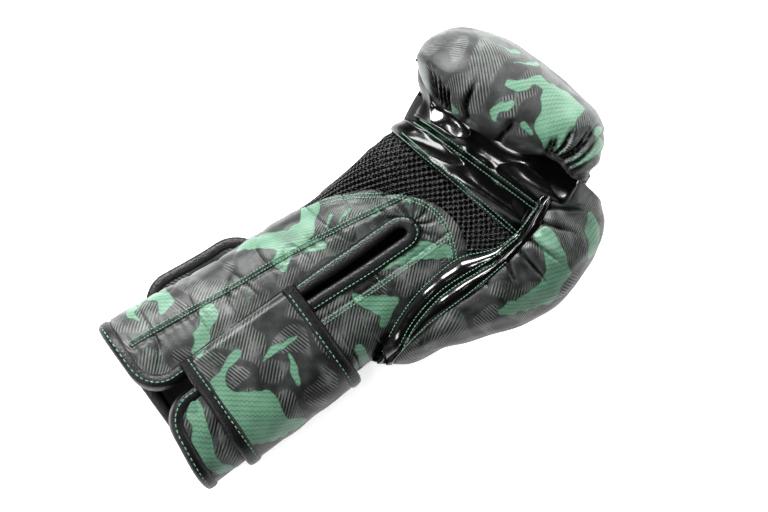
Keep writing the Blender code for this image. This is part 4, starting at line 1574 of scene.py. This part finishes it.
def sew_palm():
    tree = surface_tree(LITTLE_SKIN, PALM_THUMB_SKIN, MESH_PANEL, LOWER_BAND, UPPER_BAND)
    little = plan_row(tree, moved(SEAM_LITTLE, 2.0), 2.0) + plan_row(tree, arch_plan(-2, 44), 2.0)
    sew("stitches_palm_little_finger", little, side=1)
    thumb = plan_row(tree, moved(SEAM_THUMB, -2.0), 2.0) + plan_row(tree, arch_plan(-30, -2), 2.0)
    for x in (96, 143, 164):
        thumb += plan_row(tree, [(x + 1, -7), (x, -19)])
    sew("stitches_palm_thumb", thumb, side=-1)
    fixed = plan_row(tree, seam_plan(MESH_TOP, 2.6), 2.2)
    sew("stitches_palm_mesh", fixed + plan_row(tree, seam_plan(PATENT_SEAM), 3.4))


def sew_thumb():
    tree = surface_tree(THUMB_SKIN, STRIP_OUTER, STRIP_INNER, MESH_PANEL, LOWER_BAND)
    rows = []
    for line, y in (
        (PALM_LINE[1:11], -1.6), (PALM_LINE[2:8], 1.8), (STRIP_LINE[1:6], -1.5),
        (STRIP_LINE[1:7], 1.4), (SKIN_LINE[1:6], 1.2),
    ):
        rows += plan_row(tree, moved(line, y))
    sew("stitches_thumb", rows)


def sew_bindings():
    for side in FLAP_SIDES:
        points, normals = palm_path(flap_edge_plan(side), 0.0)
        path = beside(points, normals, 1.4 * side)
        rows = stitch_row(surface_tree(TAPES[side]), path, normals, *TAPE_STITCH)
        sew(f"stitches_cuff_{SIDES[side]}", rows, body=f"flap_{SIDES[side]}")
        path, normals = palm_path(slit_plan(side, 2.0, 88, 10), 0.0)
        rows = stitch_row(surface_tree(SLIT_TAPES[side]), path, normals, *SLIT_STITCH)
        sew(f"stitches_slit_{SIDES[side]}", rows, side=side)
    for (part, where), tape in STRAP_TAPES.items():
        x, outward = STRAP_EDGES[where]
        path, normals = strap_edge(part, x - 0.64 * outward)
        rows = stitch_row(surface_tree(tape), path, normals, *TAPE_STITCH)
        sew(f"stitches_strap_{part}_{where}", rows, part=part)


sew_palm()
sew_thumb()
sew_bindings()


def give_material(material, *nodes):
    """A finish for CAD nodes that stay, such as those seen through the openings."""
    for node in nodes:
        slots = bpy.data.objects[node].data.materials
        for index in range(len(slots)):
            slots[index] = material


give_material(lining_material("lining_fabric_inner", False), "hand_lining_back", "hand_lining_palm")
give_material(hook_loop_material(), "strap_hook_patch", "cuff_loop_patch")
give_material(patent_material("patent_leather_inner", False), "grip_bar")

# ---------------------------------------------------------------- stage, light and camera

FLOOR_SIZE = 4.0
FLOOR_Z = -0.0008
# Soft boxes, in metres and watts: right and up in the picture, height, what each is aimed at,
# size and power
LIGHTS = {
    "key": (-0.45, 0.9, 1.0, (0, 0, 0.05), (1.3, 0.5), 33),
    "fill": (1.1, 0.11, 0.8, (0.05, 0, 0.05), (0.6, 0.12), 4),
    "low": (-0.9, -0.6, 0.9, (0, 0, 0.05), (0.8, 0.3), 6),
    "rim": (0.77, 1.1, 0.45, (0.05, 0, 0.08), (1.2, 0.3), 8),
    "top": (-0.25, -0.1, 1.6, (0, 0, 0.05), (0.4, 0.12), 2.5),
}
# The studio's light by height: bright at the horizon, and dark overhead
WORLD_RAMP = {"From Min": 0.05, "From Max": 0.4, "To Min": 0.7, "To Max": 0.02}
CAMERA_DISTANCE = 2.2
CAMERA_ELEVATION = math.radians(86.0)
CAMERA_LENS = 180.2
CAMERA_TARGET = np.array([0.0074, 0.0003, 0.045])


def build_floor():
    mesh = bpy.data.meshes.new("floor")
    corners = ((-1, -1), (1, -1), (1, 1), (-1, 1))
    places = [(x * FLOOR_SIZE, y * FLOOR_SIZE, FLOOR_Z) for x, y in corners]
    mesh.from_pydata(places, [], [(0, 1, 2, 3)])
    mesh.materials.append(floor_material())
    put_in_scene("floor", mesh)


def build_world():
    world = bpy.data.worlds.new("studio")
    world.use_nodes = True
    nodes, links = world.node_tree.nodes, world.node_tree.links
    place, split = nodes.new("ShaderNodeTexCoord"), nodes.new("ShaderNodeSeparateXYZ")
    links.new(place.outputs["Generated"], split.inputs[0])
    ramp = nodes.new("ShaderNodeMapRange")
    ramp.interpolation_type = "SMOOTHSTEP"
    links.new(split.outputs["Z"], ramp.inputs["Value"])
    for key, value in WORLD_RAMP.items():
        ramp.inputs[key].default_value = value
    nodes["Background"].inputs["Color"].default_value = (1, 1, 1, 1)
    links.new(ramp.outputs["Result"], nodes["Background"].inputs["Strength"])
    bpy.context.scene.world = world


def add_light(name, right, up, height, aim, size, power):
    data = bpy.data.lights.new(name, "AREA")
    data.shape = "RECTANGLE"
    data.size, data.size_y = size
    data.energy = power
    lamp = put_in_scene(name, data)
    lamp.location = ACROSS_IMAGE * right + UP_IMAGE * up + UPWARD * height
    direction = Vector(aim) - lamp.location
    lamp.rotation_euler = direction.to_track_quat("-Z", "Y").to_euler()


def build_camera():
    data = bpy.data.cameras.new("camera")
    data.lens = CAMERA_LENS
    data.sensor_width = 36.0
    data.clip_start, data.clip_end = 0.05, 20.0
    camera = put_in_scene("camera", data)
    back = unit(UPWARD * math.sin(CAMERA_ELEVATION) - UP_IMAGE * math.cos(CAMERA_ELEVATION))
    right = unit(ACROSS_IMAGE)
    matrix = np.eye(4)
    matrix[:3, :3] = np.stack([right, np.cross(back, right), back], -1)
    matrix[:3, 3] = CAMERA_TARGET + back * CAMERA_DISTANCE
    camera.matrix_world = Matrix(matrix.tolist())
    bpy.context.scene.camera = camera


build_floor()
build_world()
for name, light in LIGHTS.items():
    add_light(name, *light)
build_camera()
bpy.context.scene.view_settings.view_transform = "Standard"
bpy.context.scene.view_settings.look = "High Contrast"
